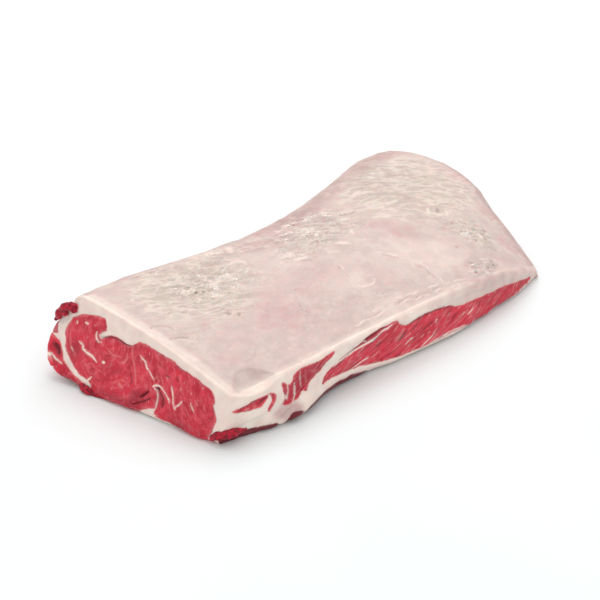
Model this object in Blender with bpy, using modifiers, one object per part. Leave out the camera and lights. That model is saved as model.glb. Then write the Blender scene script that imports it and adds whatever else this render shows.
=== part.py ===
"""Raw beef striploin: a whole boneless loin lying fat side up, cut square at its rib end.

Two solids run its whole length: the lean muscle, and the fat cap that lies over it.
A place on the loin is told by three shares: along, from 0 at the rib end to 1 at the rump
end; across, from 0 at the front side to 1 at the back side; and up, from 0 underneath to 1
on top. Sizes are in millimetres until the points are written, and then in metres.
"""
import bmesh
import bpy
import numpy as np

MM = 0.001

# The cut at the rib end: x at the front side and at the back, at its foot and at its top.
RIB_CUT_FOOT = (-215, -248)
RIB_CUT_TOP = (-207, -222)

# The rounded rump end: stops of (share across, x).
RUMP_END = ((0, 192), (0.2, 208), (0.4, 225), (0.5, 236), (0.6, 241), (0.75, 240), (0.88, 228), (1, 198))

# The two long sides: stops of (share along, y).
FRONT_SIDE = ((0, -98), (0.1, -101), (0.3, -104), (0.5, -107), (0.7, -110), (0.88, -108), (1, -102))
BACK_SIDE = ((0, 86), (0.12, 86), (0.28, 79), (0.42, 74), (0.53, 75),
             (0.62, 80), (0.72, 89), (0.8, 99), (0.9, 113), (1, 118))

# How high the loin stands along three lines: stops of (share along, height).
FRONT_HEIGHT = ((0, 47), (0.2, 46), (0.5, 45), (0.7, 42), (0.85, 33), (0.95, 18), (1, 10))
MIDDLE_HEIGHT = ((0, 69), (0.25, 68), (0.5, 69), (0.75, 67), (0.9, 57), (1, 47))
BACK_HEIGHT = ((0, 77), (0.12, 76), (0.25, 72), (0.45, 71), (0.6, 72), (0.8, 74), (0.9, 72), (1, 66))

# The front side's foot stands out or in, and the back side bulges: stops of (share along, size).
FRONT_FLARE = ((0, -9), (0.06, -4), (0.12, 4), (0.2, 9), (0.28, 0), (0.38, -2), (0.46, 3),
               (0.6, 6), (0.7, 6), (0.8, 2), (0.88, 3), (1, -2))
BACK_BULGE = ((0, 13), (0.1, 10), (0.3, 5), (1, 5))
FLARE_REACH = 40            # how far in from a side its flare or bulge is felt

# Edge rounding: radius at the foot and at the top of each long side, and at the rump end.
FRONT_FOOT_RADIUS = ((0, 4), (0.12, 6), (0.25, 12), (0.4, 10), (0.6, 7), (1, 4))
FRONT_TOP_RADIUS = 3
BACK_FOOT_RADIUS = ((0, 18), (0.12, 16), (0.25, 14), (1, 14))
BACK_TOP_RADIUS = 18
RUMP_TOP_RADIUS = (6, 18)   # at the front side and at the back side
FULL_FOOT_HEIGHT = 30       # where the loin is thinner than this, its foot rounding shrinks

# The fat cap's thickness: over the middle, and what the front and back sides add to it.
CAP_MIDDLE = ((0, 8), (0.15, 10), (0.7, 9), (1, 6))
CAP_FRONT = ((0, 38), (0.08, 34), (0.2, 20), (0.3, 11), (0.5, 9), (0.7, 8), (0.85, 8), (1, 5))
CAP_BACK = ((0, 20), (0.3, 24), (0.8, 26), (1, 16))
CAP_FRONT_REACH = 0.16      # share across over which the front side's thickness dies away
CAP_BACK_REACH = 0.14
CAP_SEAM_WEDGE = 8          # the cap dips into the seam between two muscles at the cut
CAP_SEAM_ACROSS = 0.72
CAP_SEAM_SPREAD = 0.09
CAP_SEAM_FADE = 0.2
CAP_MOST = 0.8              # most of the loin's height that the cap may take

# Soft swells of the top: (waves along, waves across, phase, height).
SWELLS = ((2.3, 0.6, 0.4, 1.3), (3.9, -1.3, 2.1, 0.9), (6.7, 2.2, 4.0, 0.6))

LAYER_GAP = 0.35            # clear gap between the lean and the cap
CELLS_ALONG = 24
CELLS_ACROSS = 10
LEAN_CELLS_UP = 3
CAP_CELLS_UP = 1
EDGE_CROWDING = 0.6         # how strongly the cells across crowd towards both sides
TIP_CROWDING = 1.2          # and the cells along towards the rump tip
SMOOTHING_LEVELS = 1

LAYER_CREASE = 1.0          # the rim where lean and cap meet stays sharp
CUT_CREASE = 1.0            # so do the edges and corners of the rib end's knife cut


def curve(stops, place):
    """Smooth curve through stops of (place, value)."""
    places = np.array([stop[0] for stop in stops], float)
    values = np.array([stop[1] for stop in stops], float)
    slopes = np.gradient(values, places)
    place = np.clip(place, places[0], places[-1])
    i = np.clip(np.searchsorted(places, place, side="right") - 1, 0, len(places) - 2)
    span = places[i + 1] - places[i]
    t = (place - places[i]) / span
    ease = t * t * (3 - 2 * t)
    return (values[i] + (values[i + 1] - values[i]) * ease
            + slopes[i] * span * t * (1 - t) ** 2
            - slopes[i + 1] * span * t * t * (1 - t))


def between(ends, share):
    return ends[0] + (ends[1] - ends[0]) * share


def edge_drop(distance, radius):
    """How far a rounded edge lies below a square one, at a distance in from the side."""
    near = np.clip(1 - distance / radius, 0, 1)
    return radius * (1 - np.sqrt(1 - near ** 2))


def top_height(along, across):
    """Parabola across through the three height lines, with the soft swells of the top."""
    height = (curve(FRONT_HEIGHT, along) * (1 - across) * (1 - 2 * across)
              + curve(MIDDLE_HEIGHT, along) * 4 * across * (1 - across)
              + curve(BACK_HEIGHT, along) * across * (2 * across - 1))
    fade = 4 * across * (1 - across) * np.minimum(1, 8 * along * (1 - along))
    for waves_along, waves_across, phase, swell in SWELLS:
        turns = waves_along * along + waves_across * across
        height = height + fade * swell * np.sin(2 * np.pi * turns + phase)
    return height


def cap_thickness(along, across):
    thickness = curve(CAP_MIDDLE, along)
    front = np.exp(-(across / CAP_FRONT_REACH) ** 2)
    back = np.exp(-((1 - across) / CAP_BACK_REACH) ** 2)
    thickness = thickness + (curve(CAP_FRONT, along) - thickness) * front
    thickness = thickness + (curve(CAP_BACK, along) - thickness) * back
    seam = np.exp(-((across - CAP_SEAM_ACROSS) / CAP_SEAM_SPREAD) ** 2)
    return thickness + CAP_SEAM_WEDGE * seam * np.exp(-(along / CAP_SEAM_FADE) ** 2)


def layer_share(along, across):
    """Share up at which the lean ends and the cap begins."""
    return 1 - np.minimum(cap_thickness(along, across) / top_height(along, across), CAP_MOST)


def body_point(along, across, up):
    """Place in millimetres of the point at the three shares."""
    front = curve(FRONT_SIDE, along)
    width = curve(BACK_SIDE, along) - front
    from_front = across * width
    from_back = (1 - across) * width
    near_front = np.clip(1 - from_front / FLARE_REACH, 0, 1) ** 2
    near_back = np.clip(1 - from_back / FLARE_REACH, 0, 1) ** 2
    flare = curve(FRONT_FLARE, along) * (1 - up) ** 1.3 * near_front
    bulge = curve(BACK_BULGE, along) * (1 - np.abs(2 * up - 1) ** 2.5) * near_back
    y = front + from_front - flare + bulge

    cut = between((between(RIB_CUT_FOOT, across), between(RIB_CUT_TOP, across)), up)
    rump_end = curve(RUMP_END, across)
    x = between((cut, rump_end), along)

    top = top_height(along, across)
    top = top - edge_drop(from_back, BACK_TOP_RADIUS) - edge_drop(from_front, FRONT_TOP_RADIUS)
    top = top - edge_drop(rump_end - x, between(RUMP_TOP_RADIUS, across))
    foot = edge_drop(from_front, curve(FRONT_FOOT_RADIUS, along))
    foot = foot + edge_drop(from_back, curve(BACK_FOOT_RADIUS, along))
    foot = foot * np.minimum(1, top / FULL_FOOT_HEIGHT)
    z = between((foot, top), up)
    return np.stack([x, y, z], axis=-1)


def unit_cage(bm, cells):
    """A unit cube cut into cells by planes along each axis."""
    bmesh.ops.create_cube(bm, size=1)
    bmesh.ops.translate(bm, verts=bm.verts[:], vec=(0.5, 0.5, 0.5))
    for axis, count in enumerate(cells):
        normal = [0, 0, 0]
        normal[axis] = 1
        for cut in range(1, count):
            place = [0, 0, 0]
            place[axis] = cut / count
            whole = bm.verts[:] + bm.edges[:] + bm.faces[:]
            bmesh.ops.bisect_plane(bm, geom=whole, dist=1e-6, plane_co=place, plane_no=normal)


def crease_edges(bm, layer_end):
    """Keeps the rim at the other layer and the edges of the rib end's cut sharp."""
    crease = bm.edges.layers.float.new("crease_edge")
    corner_crease = bm.verts.layers.float.new("crease_vert")
    for vert in bm.verts:
        if vert.co.x < 1e-4 and len(vert.link_edges) == 3:
            vert[corner_crease] = CUT_CREASE
    for edge in bm.edges:
        middle = (edge.verts[0].co + edge.verts[1].co) / 2
        at_side = min(middle.y, 1 - middle.y) < 1e-4
        at_cut = middle.x < 1e-4
        at_tip = middle.x > 1 - 1e-4
        at_layer = abs(middle.z - layer_end) < 1e-4
        at_outside = abs(middle.z - (1 - layer_end)) < 1e-4
        if at_layer and (at_side or at_cut or at_tip):
            edge[crease] = LAYER_CREASE
        elif at_cut and (at_side or at_outside):
            edge[crease] = CUT_CREASE


def layer_object(name, cells, layer_end, up_of, material):
    """A layer: a caged block bent to the loin's form, smoothed by a Subdivision Surface."""
    bm = bmesh.new()
    unit_cage(bm, cells)
    crease_edges(bm, layer_end)
    shares = np.array([vert.co[:] for vert in bm.verts])
    along = 1 - (1 - shares[:, 0]) ** TIP_CROWDING
    across = shares[:, 1] - EDGE_CROWDING * np.sin(2 * np.pi * shares[:, 1]) / (2 * np.pi)
    points = body_point(along, across, up_of(along, across, shares[:, 2]))
    points[:, 2] -= LAYER_GAP * layer_end * shares[:, 2]
    for vert, point in zip(bm.verts, points * MM):
        vert.co = point
    bmesh.ops.recalc_face_normals(bm, faces=bm.faces[:])

    mesh = bpy.data.meshes.new(name)
    bm.to_mesh(mesh)
    bm.free()
    mesh.materials.append(material)
    mesh.shade_smooth()
    layer = bpy.data.objects.new(name, mesh)
    smoothing = layer.modifiers.new("smoothing", "SUBSURF")
    smoothing.levels = SMOOTHING_LEVELS
    smoothing.render_levels = SMOOTHING_LEVELS
    return layer


def lean_up(along, across, share):
    return share * layer_share(along, across)


def cap_up(along, across, share):
    layer = layer_share(along, across)
    return layer + (1 - layer) * share


def material(name, color, roughness):
    made = bpy.data.materials.new(name)
    made.use_nodes = True
    shader = made.node_tree.nodes["Principled BSDF"]
    shader.inputs["Base Color"].default_value = (*color, 1)
    shader.inputs["Roughness"].default_value = roughness
    shader.inputs["Metallic"].default_value = 0
    return made


def centre_on_origin(layers):
    """Moves the cages so that the loin's box stands on z = 0, centred in x and y."""
    bpy.context.view_layer.update()
    depsgraph = bpy.context.evaluated_depsgraph_get()
    corners = []
    for layer in layers:
        seen = layer.evaluated_get(depsgraph)
        corners += [vert.co[:] for vert in seen.data.vertices]
    low = np.min(corners, axis=0)
    high = np.max(corners, axis=0)
    shift = (-(low[0] + high[0]) / 2, -(low[1] + high[1]) / 2, -low[2])
    for layer in layers:
        for vert in layer.data.vertices:
            vert.co = vert.co + type(vert.co)(shift)


def main():
    for old in list(bpy.data.objects):
        bpy.data.objects.remove(old, do_unlink=True)
    collection = bpy.data.collections.new("beef_striploin")
    bpy.context.scene.collection.children.link(collection)

    lean_meat = material("lean_meat", (0.50, 0.065, 0.08), 0.35)
    cap_fat = material("cap_fat", (0.76, 0.60, 0.55), 0.45)
    lean = layer_object("lean", (CELLS_ALONG, CELLS_ACROSS, LEAN_CELLS_UP), 1, lean_up, lean_meat)
    cap = layer_object("fat_cap", (CELLS_ALONG, CELLS_ACROSS, CAP_CELLS_UP), 0, cap_up, cap_fat)
    collection.objects.link(lean)
    collection.objects.link(cap)
    centre_on_origin([lean, cap])


main()
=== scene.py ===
"""Raw beef striploin lying fat side up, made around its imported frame.

The loin is bent from a block. A place on it is told by three shares: along, from 0 at the cut
rib end to 1 at the rump end; across, from 0 at the front side to 1 at the back side; and up,
from 0 underneath to 1 on top. Sizes are in millimetres until a mesh is written.
"""

import math

import bmesh
import bpy
import numpy as np
from bpy.props import FloatProperty, FloatVectorProperty, IntProperty, PointerProperty
from mathutils import Matrix, Vector, noise


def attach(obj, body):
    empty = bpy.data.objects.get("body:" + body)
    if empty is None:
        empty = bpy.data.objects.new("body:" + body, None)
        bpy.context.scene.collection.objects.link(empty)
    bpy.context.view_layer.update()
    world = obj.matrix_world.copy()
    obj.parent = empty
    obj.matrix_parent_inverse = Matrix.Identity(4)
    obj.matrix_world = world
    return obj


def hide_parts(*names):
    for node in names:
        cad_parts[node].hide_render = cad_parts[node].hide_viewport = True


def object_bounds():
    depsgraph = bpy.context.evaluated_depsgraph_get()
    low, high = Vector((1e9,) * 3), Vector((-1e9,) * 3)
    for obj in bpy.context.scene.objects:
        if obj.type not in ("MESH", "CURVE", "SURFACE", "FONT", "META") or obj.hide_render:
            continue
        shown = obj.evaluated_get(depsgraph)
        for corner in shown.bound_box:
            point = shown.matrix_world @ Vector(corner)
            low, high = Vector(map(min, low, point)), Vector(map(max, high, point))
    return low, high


# Blender's own start-up objects go first, so that they aren't measured with the frame.
for leftover in ("Cube", "Light", "Camera"):
    if leftover in bpy.data.objects:
        bpy.data.objects.remove(bpy.data.objects[leftover])

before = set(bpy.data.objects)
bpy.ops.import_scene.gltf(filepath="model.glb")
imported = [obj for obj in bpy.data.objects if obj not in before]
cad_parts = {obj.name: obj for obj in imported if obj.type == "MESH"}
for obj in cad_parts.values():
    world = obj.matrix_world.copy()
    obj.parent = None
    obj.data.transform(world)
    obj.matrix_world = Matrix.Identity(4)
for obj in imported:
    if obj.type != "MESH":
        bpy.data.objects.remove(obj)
CAD_LOW, CAD_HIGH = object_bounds()

bl_info = {
    "name": "Beef striploin",
    "version": (1, 0, 0),
    "blender": (4, 5, 0),
    "location": "3D View > Sidebar > Striploin",
    "description": "Builds a raw beef striploin with its fat cap, cut face and marbling",
    "category": "Add Mesh",
}

MM = 0.001

# ------------------------------------------------------------------ the loin's outline

# The cut at the rib end: x at the front side and at the back, at its foot and at its top.
RIB_CUT_FOOT = (-215, -248)
RIB_CUT_TOP = (-207, -222)

# The rounded rump end: stops of (share across, x).
RUMP_END = ((0, 192), (0.2, 208), (0.4, 225), (0.5, 236), (0.6, 241), (0.75, 240), (0.88, 228), (1, 198))

# The two long sides: stops of (share along, y).
FRONT_SIDE = ((0, -98), (0.1, -101), (0.3, -104), (0.5, -107), (0.7, -110), (0.88, -108), (1, -102))
BACK_SIDE = ((0, 86), (0.12, 86), (0.28, 79), (0.42, 74), (0.53, 75),
             (0.62, 80), (0.72, 89), (0.8, 99), (0.9, 113), (1, 118))

# How high the loin stands along three lines: stops of (share along, height).
FRONT_HEIGHT = ((0, 47), (0.2, 46), (0.5, 45), (0.7, 42), (0.85, 33), (0.95, 18), (1, 10))
MIDDLE_HEIGHT = ((0, 69), (0.25, 68), (0.5, 69), (0.75, 67), (0.9, 57), (1, 47))
BACK_HEIGHT = ((0, 77), (0.12, 76), (0.25, 72), (0.45, 71), (0.6, 72), (0.8, 74), (0.9, 72), (1, 66))

# The front side's foot stands out or in, and the back side bulges: stops of (share along, size).
FRONT_FLARE = ((0, -9), (0.06, -4), (0.12, 4), (0.2, 9), (0.28, 0), (0.38, -2), (0.46, 3),
               (0.6, 6), (0.7, 6), (0.8, 2), (0.88, 3), (1, -2))
BACK_BULGE = ((0, 13), (0.1, 10), (0.3, 5), (1, 5))
FLARE_REACH = 40

# Edge rounding: radii at the foot and at the top of each side.
FRONT_FOOT_RADIUS = ((0, 4), (0.12, 6), (0.25, 12), (0.4, 10), (0.6, 7), (1, 4))
FRONT_TOP_RADIUS = 3
BACK_FOOT_RADIUS = ((0, 18), (0.12, 16), (0.25, 14), (1, 14))
BACK_TOP_RADIUS = 18
RUMP_TOP_RADIUS = (6, 18)
CUT_TOP_RADIUS = 2.5
CUT_FOOT_RADIUS = 5
RUMP_FOOT_RADIUS = 4
FULL_FOOT_HEIGHT = 30
MOST_FOOT = 14

# The fat cap's thickness: over the middle, and at the front and back sides.
CAP_MIDDLE = ((0, 8), (0.15, 10), (0.7, 9), (1, 6))
CAP_FRONT = ((0, 38), (0.08, 34), (0.2, 20), (0.3, 11), (0.5, 9), (0.7, 8), (0.85, 8), (1, 5))
CAP_BACK = ((0, 20), (0.3, 24), (0.8, 26), (1, 16))
CAP_FRONT_REACH = 0.16
CAP_BACK_REACH = 0.14
CAP_MOST = 0.8

# On the cut the cap ends along this line, stops of (y, z), and it eases to the rest behind it.
CUT_LAYER = ((-100, 8), (-89, 9), (-86, 34), (-83, 42), (-72, 48), (-56, 52), (-40, 56), (-20, 59),
             (-4, 60), (3, 57), (9, 54), (22, 55), (32, 54), (39, 51), (42, 60), (45, 64), (54, 62.5),
             (63, 61), (71, 57), (78, 49), (86, 44), (100, 42))
CUT_LAYER_FADE = 26
CUT_LAYER_SHARES = (0.04, 0.96)
BEHIND_CUT = 20             # the loin's heights next to the cut are read this far behind it

SWELLS = ((2.3, 0.6, 0.4, 1.3), (3.9, -1.3, 2.1, 0.9), (6.7, 2.2, 4.0, 0.6))


def curve(stops, place):
    """Smooth curve through stops of (place, value)."""
    places = np.array([stop[0] for stop in stops], float)
    values = np.array([stop[1] for stop in stops], float)
    slopes = np.gradient(values, places)
    place = np.clip(place, places[0], places[-1])
    i = np.clip(np.searchsorted(places, place, side="right") - 1, 0, len(places) - 2)
    span = places[i + 1] - places[i]
    t = (place - places[i]) / span
    ease = t * t * (3 - 2 * t)
    return (values[i] + (values[i + 1] - values[i]) * ease
            + slopes[i] * span * t * (1 - t) ** 2
            - slopes[i + 1] * span * t * t * (1 - t))


def between(ends, share):
    return ends[0] + (ends[1] - ends[0]) * share


def smooth(value, low=0.0, high=1.0):
    """Eases from 0 at low to 1 at high."""
    t = np.clip((value - low) / (high - low), 0, 1)
    return t * t * (3 - 2 * t)


def edge_drop(distance, radius):
    """How far a rounded edge lies below a square one, at a distance in from the side."""
    near = np.clip(1 - distance / radius, 0, 1)
    return radius * (1 - np.sqrt(1 - near ** 2))


def width_at(along):
    return curve(BACK_SIDE, along) - curve(FRONT_SIDE, along)


def top_height(along, across):
    height = (curve(FRONT_HEIGHT, along) * (1 - across) * (1 - 2 * across)
              + curve(MIDDLE_HEIGHT, along) * 4 * across * (1 - across)
              + curve(BACK_HEIGHT, along) * across * (2 * across - 1))
    fade = 4 * across * (1 - across) * np.minimum(1, 8 * along * (1 - along))
    for waves_along, waves_across, phase, swell in SWELLS:
        turns = waves_along * along + waves_across * across
        height = height + fade * swell * np.sin(2 * np.pi * turns + phase)
    return height


def foot_and_top(along, across, x):
    """Heights of the loin's underside and top, with their rounded edges."""
    width = width_at(along)
    from_front = across * width
    from_back = (1 - across) * width
    top = top_height(along, across)
    top = top - edge_drop(from_back, BACK_TOP_RADIUS) - edge_drop(from_front, FRONT_TOP_RADIUS)
    top = top - edge_drop(curve(RUMP_END, across) - x, between(RUMP_TOP_RADIUS, across))
    top = top - edge_drop(x - between(RIB_CUT_TOP, across), CUT_TOP_RADIUS)
    foot = edge_drop(from_front, curve(FRONT_FOOT_RADIUS, along))
    foot = foot + edge_drop(from_back, curve(BACK_FOOT_RADIUS, along))
    foot = foot + edge_drop(x - between(RIB_CUT_FOOT, across), CUT_FOOT_RADIUS)
    foot = foot + edge_drop(curve(RUMP_END, across) - x, RUMP_FOOT_RADIUS)
    return np.minimum(foot, MOST_FOOT) * np.minimum(1, top / FULL_FOOT_HEIGHT), top


def body_point(along, across, up):
    """Place of the point at the three shares, before the frame's own origin is used."""
    front = curve(FRONT_SIDE, along)
    width = curve(BACK_SIDE, along) - front
    near_front = np.clip(1 - across * width / FLARE_REACH, 0, 1) ** 2
    near_back = np.clip(1 - (1 - across) * width / FLARE_REACH, 0, 1) ** 2
    flare = curve(FRONT_FLARE, along) * (1 - up) ** 1.3 * near_front
    bulge = curve(BACK_BULGE, along) * (1 - np.abs(2 * up - 1) ** 2.5) * near_back
    y = front + across * width - flare + bulge
    cut = between((between(RIB_CUT_FOOT, across), between(RIB_CUT_TOP, across)), up)
    x = between((cut, curve(RUMP_END, across)), along)
    return np.stack([x, y, between(foot_and_top(along, across, x), up)], axis=-1)


def frame_shift():
    """What moves the outline's own box onto the middle of the CAD box."""
    along, across, up = np.meshgrid(*[np.linspace(0, 1, n) for n in (81, 41, 9)], indexing="ij")
    points = body_point(along, across, up).reshape(-1, 3)
    cad_middle = (CAD_LOW + CAD_HIGH) / 2 / MM
    middle = (points.min(axis=0) + points.max(axis=0)) / 2
    return np.array([cad_middle.x - middle[0], cad_middle.y - middle[1], CAD_LOW.z / MM])


SHIFT = frame_shift()


def layer_up(along, across):
    """Share up at which the lean ends and the cap begins."""
    thickness = curve(CAP_MIDDLE, along)
    front = np.exp(-(across / CAP_FRONT_REACH) ** 2)
    back = np.exp(-((1 - across) / CAP_BACK_REACH) ** 2)
    thickness = thickness + (curve(CAP_FRONT, along) - thickness) * front
    thickness = thickness + (curve(CAP_BACK, along) - thickness) * back
    usual = 1 - np.minimum(thickness / top_height(along, across), CAP_MOST)

    zero = np.zeros_like(along)
    foot, top = foot_and_top(zero, across, between(RIB_CUT_TOP, across) + BEHIND_CUT)
    y = between((FRONT_SIDE[0][1], BACK_SIDE[0][1]), across) + SHIFT[1]
    line = np.interp(y, [stop[0] for stop in CUT_LAYER], [stop[1] for stop in CUT_LAYER])
    at_cut = np.clip((line - foot) / (top - foot), *CUT_LAYER_SHARES)
    length = curve(RUMP_END, 0.5) - RIB_CUT_FOOT[0]
    return between((at_cut, usual), smooth(along * length / CUT_LAYER_FADE))


# ------------------------------------------------------------------ marks drawn on the surface

# Outlines and lines are runs of flat places. On the cut these are (y, z) in the frame. First come
# the lean's outline, the strap's beyond the fascia, film over the strap, and a patch of fat.
CUT_LEAN = (82, 41, 79.5, 48, 74.5, 56, 65, 61.5, 57, 64, 50, 65.5, 44, 66.5, 39, 66.5, 36, 62, 36, 57, 41,
    53, 43, 50, 40, 49, 35, 52, 28, 55, 20, 55, 13, 54, 7, 54, 3, 57, -1, 60, -9, 60, -18, 59, -28, 57.5,
    -40, 56, -48, 53, -56, 52, -64, 50, -72, 48, -79, 46, -84, 42, -86, 37, -84, 33, -87, 27, -89, 21, -86,
    11, -84, 5, -84, -6, 40, -6, 41, 5, 45, 9, 55, 11.5, 62, 15.5, 69, 20, 75, 25, 78.5, 30, 79.5, 36)
CUT_STRAP = (106, 34, 90, 33.5, 85, 31, 82, 27.5, 78.5, 22, 75.5, 17, 68, 13.5, 60, 10, 52, 7, 46, 5.5, 42,
    3, 42, -6, 106, -6)
CUT_FILM = (106, 36, 104, 45, 99, 51, 94, 48, 91.5, 41, 90.5, 36.5)
CUT_PATCH = (-10, -4, -12, 2, -20, 7.5, -27, 10.5, -26.5, 6, -30, 4.5, -38, 3.5, -47, 2, -54, 0, -56, -4)

# White lines on the cut: width, strength and places.
CUT_VEINS = (
    (1.9, 1, 62, 39, 57, 38, 56, 35, 50, 33, 44, 32, 38, 29), (1.5, 0.85, 70, 32.5, 66, 29.5),
    (1.6, 0.8, 70, 55, 67.5, 53), (1.7, 0.85, 60, 57, 55, 56.5), (2.2, 0.8, 33, 31, 30, 31.5),
    (1.8, 0.6, 9, 23, 7, 23.5), (0.8, 0.5, 9, 46.5, 7, 44, 8, 41, 11, 38, 15, 36),
    (0.8, 0.65, 5, 56, 2, 46, -2, 38, -4, 30, -5, 23),
    (1.4, 1, -6, 50, -8, 48.5, -11.5, 47, -14, 43, -18, 40, -24, 34.5),
    (0.8, 0.4, -23, 35, -26, 38, -29, 32), (1.5, 0.95, -23, 28.5, -26, 31, -31, 31.5, -36.5, 28.5),
    (1.5, 0.9, -24, 29.5, -29, 25.5, -30, 19.5, -29, 14.5, -27.5, 10),
    (1.3, 0.9, -35, 29.5, -40, 24, -42, 20.5), (1.4, 1, -42, 36, -44, 31, -46, 23.5, -48, 19, -50, 17),
    (1.1, 0.85, -48.5, 19, -52, 23, -54.5, 27), (1, 0.75, -63, 29, -65, 25.5, -68, 21.5),
    (1.4, 0.9, 44.5, 54, 45, 49, 42, 46, 38, 46.5), (1.2, 0.6, 12, 19, 7, 17), (0.8, 0.5, 5, 13, 5, 10),
    (0.7, 0.35, 38, 24, 43, 26.5, 48, 24, 48, 19.5, 43, 17, 38, 19.5, 38, 24),
    (1.3, 0.6, -73.5, 45.5, -72, 44), (1.3, 0.6, -63, 38, -62.5, 35.5), (1.1, 0.6, -53, 38.5, -51.5, 35),
    (1, 0.5, -35, 42, -38, 40), (0.9, 0.4, -76, 30, -78, 26),
    (1.7, 0.95, 96, 22, 91, 20.5, 84, 17.5, 76, 14.5), (1, 0.8, 94, 20, 87, 13.5, 80, 10.5),
    (1.5, 0.95, 48, 8, 45, 11, 42, 14.5), (1.2, 0.9, 48, 8, 46, 3, 47, -1),
    (0.8, 0.5, 30, 43, 22, 41, 14, 42), (0.8, 0.45, -30, 40, -34, 34), (0.9, 0.5, -68, 33, -70, 28),
)

# Folds on the cut, sunk in and painted dark as shade: width, depth and places.
CUT_FOLDS = (
    (2.7, 3, -27, 29, -30.5, 27.5), (3.4, 1.3, -31, 26.5, -35, 21.5, -35, 14.5),
    (2.2, 2.2, -12, 15, -20, 23), (1.6, 1.6, -5, 6, -13, 11, -22, 17),
    (1.1, 1.1, 42.5, 50, 38, 50.5, 30, 53.5, 21, 54, 13, 53, 7, 53.5), (1.8, 0.9, -46, 45, -48.5, 41.5),
    (1.6, 0.7, -34, 43, -39, 42), (3.6, 1.8, 89, 28, 84.5, 24.5, 82, 21), (1.4, 0.6, 45, 20, 41, 23),
    (1.4, 0.6, 2, 33, -1, 27, 0, 22), (2.2, 1.2, 66, 6, 56, 3), (2, 1, 90, 8, 80, 4),
)

# Painted shade on the cut's meat: strength, middle, radii and turn of a soft oval.
CUT_SHADES = (
    (0.6, 88, 27, 6, 3.5, 30), (0.4, -10, 13, 16, 10, -40), (0.3, -31, 20, 7, 10, 0),
    (0.25, 66, 27, 12, 14, 20), (0.35, 60, 4, 26, 6, 10), (0.3, 10, 6, 46, 7, 0), (0.25, -60, 6, 26, 7, 0),
)

# On the front side, places are (x, z) in the frame. Red that shows through the fat.
FRONT_LEANS = (
    (-202, 31, -195, 31.5, -186, 31.5, -176, 33.5, -167, 33.5, -167, 31, -172, 25, -178, 24, -186, 25.5,
     -193, 26.5, -198, 28),
    (-166, 34.5, -161, 33, -158, 29.5, -160, 24, -166, 17.5, -168, 20, -164, 25, -163, 29),
    (-151, 38.5, -143, 34, -137, 40, -128, 43, -118, 41.5, -110, 41, -103, 42, -91, 44, -95, 38, -104,
     34.5, -111, 32, -120, 29.5, -124, 27, -128, 22, -133, 25, -138, 20, -145, 19, -150, 18, -153.5, 20,
     -149, 24, -151.5, 31),
    (-107, 18, -101, 25, -92, 29, -86, 30.5, -70, 34, -54, 39.5, -38, 42, -26, 42.5, -16, 42, -12, 38, -5,
     34, 5, 33.5, 14, 35.5, 23, 35, 36, 33.5, 50, 31.5, 60, 28, 71, 26, 88, 24, 109, 21, 127, 20, 150, 15,
     171, 10, 180, 8, 180, 5, 172, 4.5, 151, 3, 117, 2, 91, 2, 67, 5.5, 50, 6.5, 28, 5.5, 7, 5.5, -14, 7.5,
     -40, 10, -60, 13, -74, 14.5, -84, 15.5, -98, 17.5),
)

# Red trimmings along the foot of the front side, painted very dark: partly darker meat and partly painted
# shade at the ground.
FRONT_FOOT_LEANS = (
    (-216, 9, -205, 9, -196, 7.5, -187, 6.5, -176, 6, -166, 5, -160, 3, -160, -8, -216, -8),
    (-151, 5, -147, 9, -141, 9.5, -136, 7.5, -137, 2, -150, 1),
    (-130, 4, -124, 8, -114, 7.5, -101, 8, -87, 8.5, -70, 8, -60, 6, -50, 3, -50, -8, -130, -8),
)

# White lines on the front side, and its folds, sunk in and painted dark as shade, as on the cut.
FRONT_VEINS = (
    (1.7, 1, -92, 28.5, -85, 30.5, -65, 33.5, -48, 36, -34, 39.5, -22, 41),
    (1.6, 1, -72, 15, -64, 16.5, -56, 19, -50, 19.5),
    (2.6, 1, -112, 14.5, -95, 14.5, -80, 13, -60, 11.5, -42, 9, -20, 7),
    (1.4, 1, 5, 5.5, 20, 6, 36, 7.5, 52, 8, 68, 7), (1.3, 0.9, 9, 7, 18, 11, 30, 15),
    (1, 0.7, 18, 6.5, 26, 9.5, 34, 13.5), (1.1, 0.8, -131, 41, -133, 35, -134, 27),
    (1.5, 1, -139, 34, -141, 28, -145, 18), (1.2, 0.9, -146, 37, -147, 30, -149, 22),
    (0.9, 0.6, -126, 40, -128, 33, -127, 28), (1.1, 0.6, -121, 38, -117, 35.5, -112, 35),
    (1.2, 0.5, -181, 29, -179, 26), (1.1, 0.8, -9, 17, -4, 19.5, 2, 21), (1, 0.8, 28, 23.5, 33, 26.5),
    (1, 0.7, 40, 25.5, 47, 28), (1, 0.8, 60, 16.5, 68, 19.5), (1, 0.8, 72, 15, 82, 18.5),
    (0.9, 0.7, 84, 11, 93, 15), (0.9, 0.5, -32, 17, -27, 19), (0.9, 0.5, -47, 27.5, -41, 29),
    (0.9, 0.5, -20, 27, -6, 31), (0.9, 0.5, 118, 12, 124, 14.5), (0.9, 0.4, 100, 13, 106, 15.5),
)
FRONT_FOLDS = (
    (2, 1.2, -86, 31.5, -70, 34, -56, 37.5, -40, 40.5, -30, 41.5),
    (1.6, 0.7, -5, 33.5, 8, 33.5, 24, 34.5, 40, 32.5, 56, 29.5), (1.3, 0.6, 104, 12, 112, 16, 118, 19.5),
    (1.6, 0.7, -149, 36, -150, 28, -151, 21), (1.4, 0.6, -168, 32, -180, 32, -194, 30.5),
)
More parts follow.
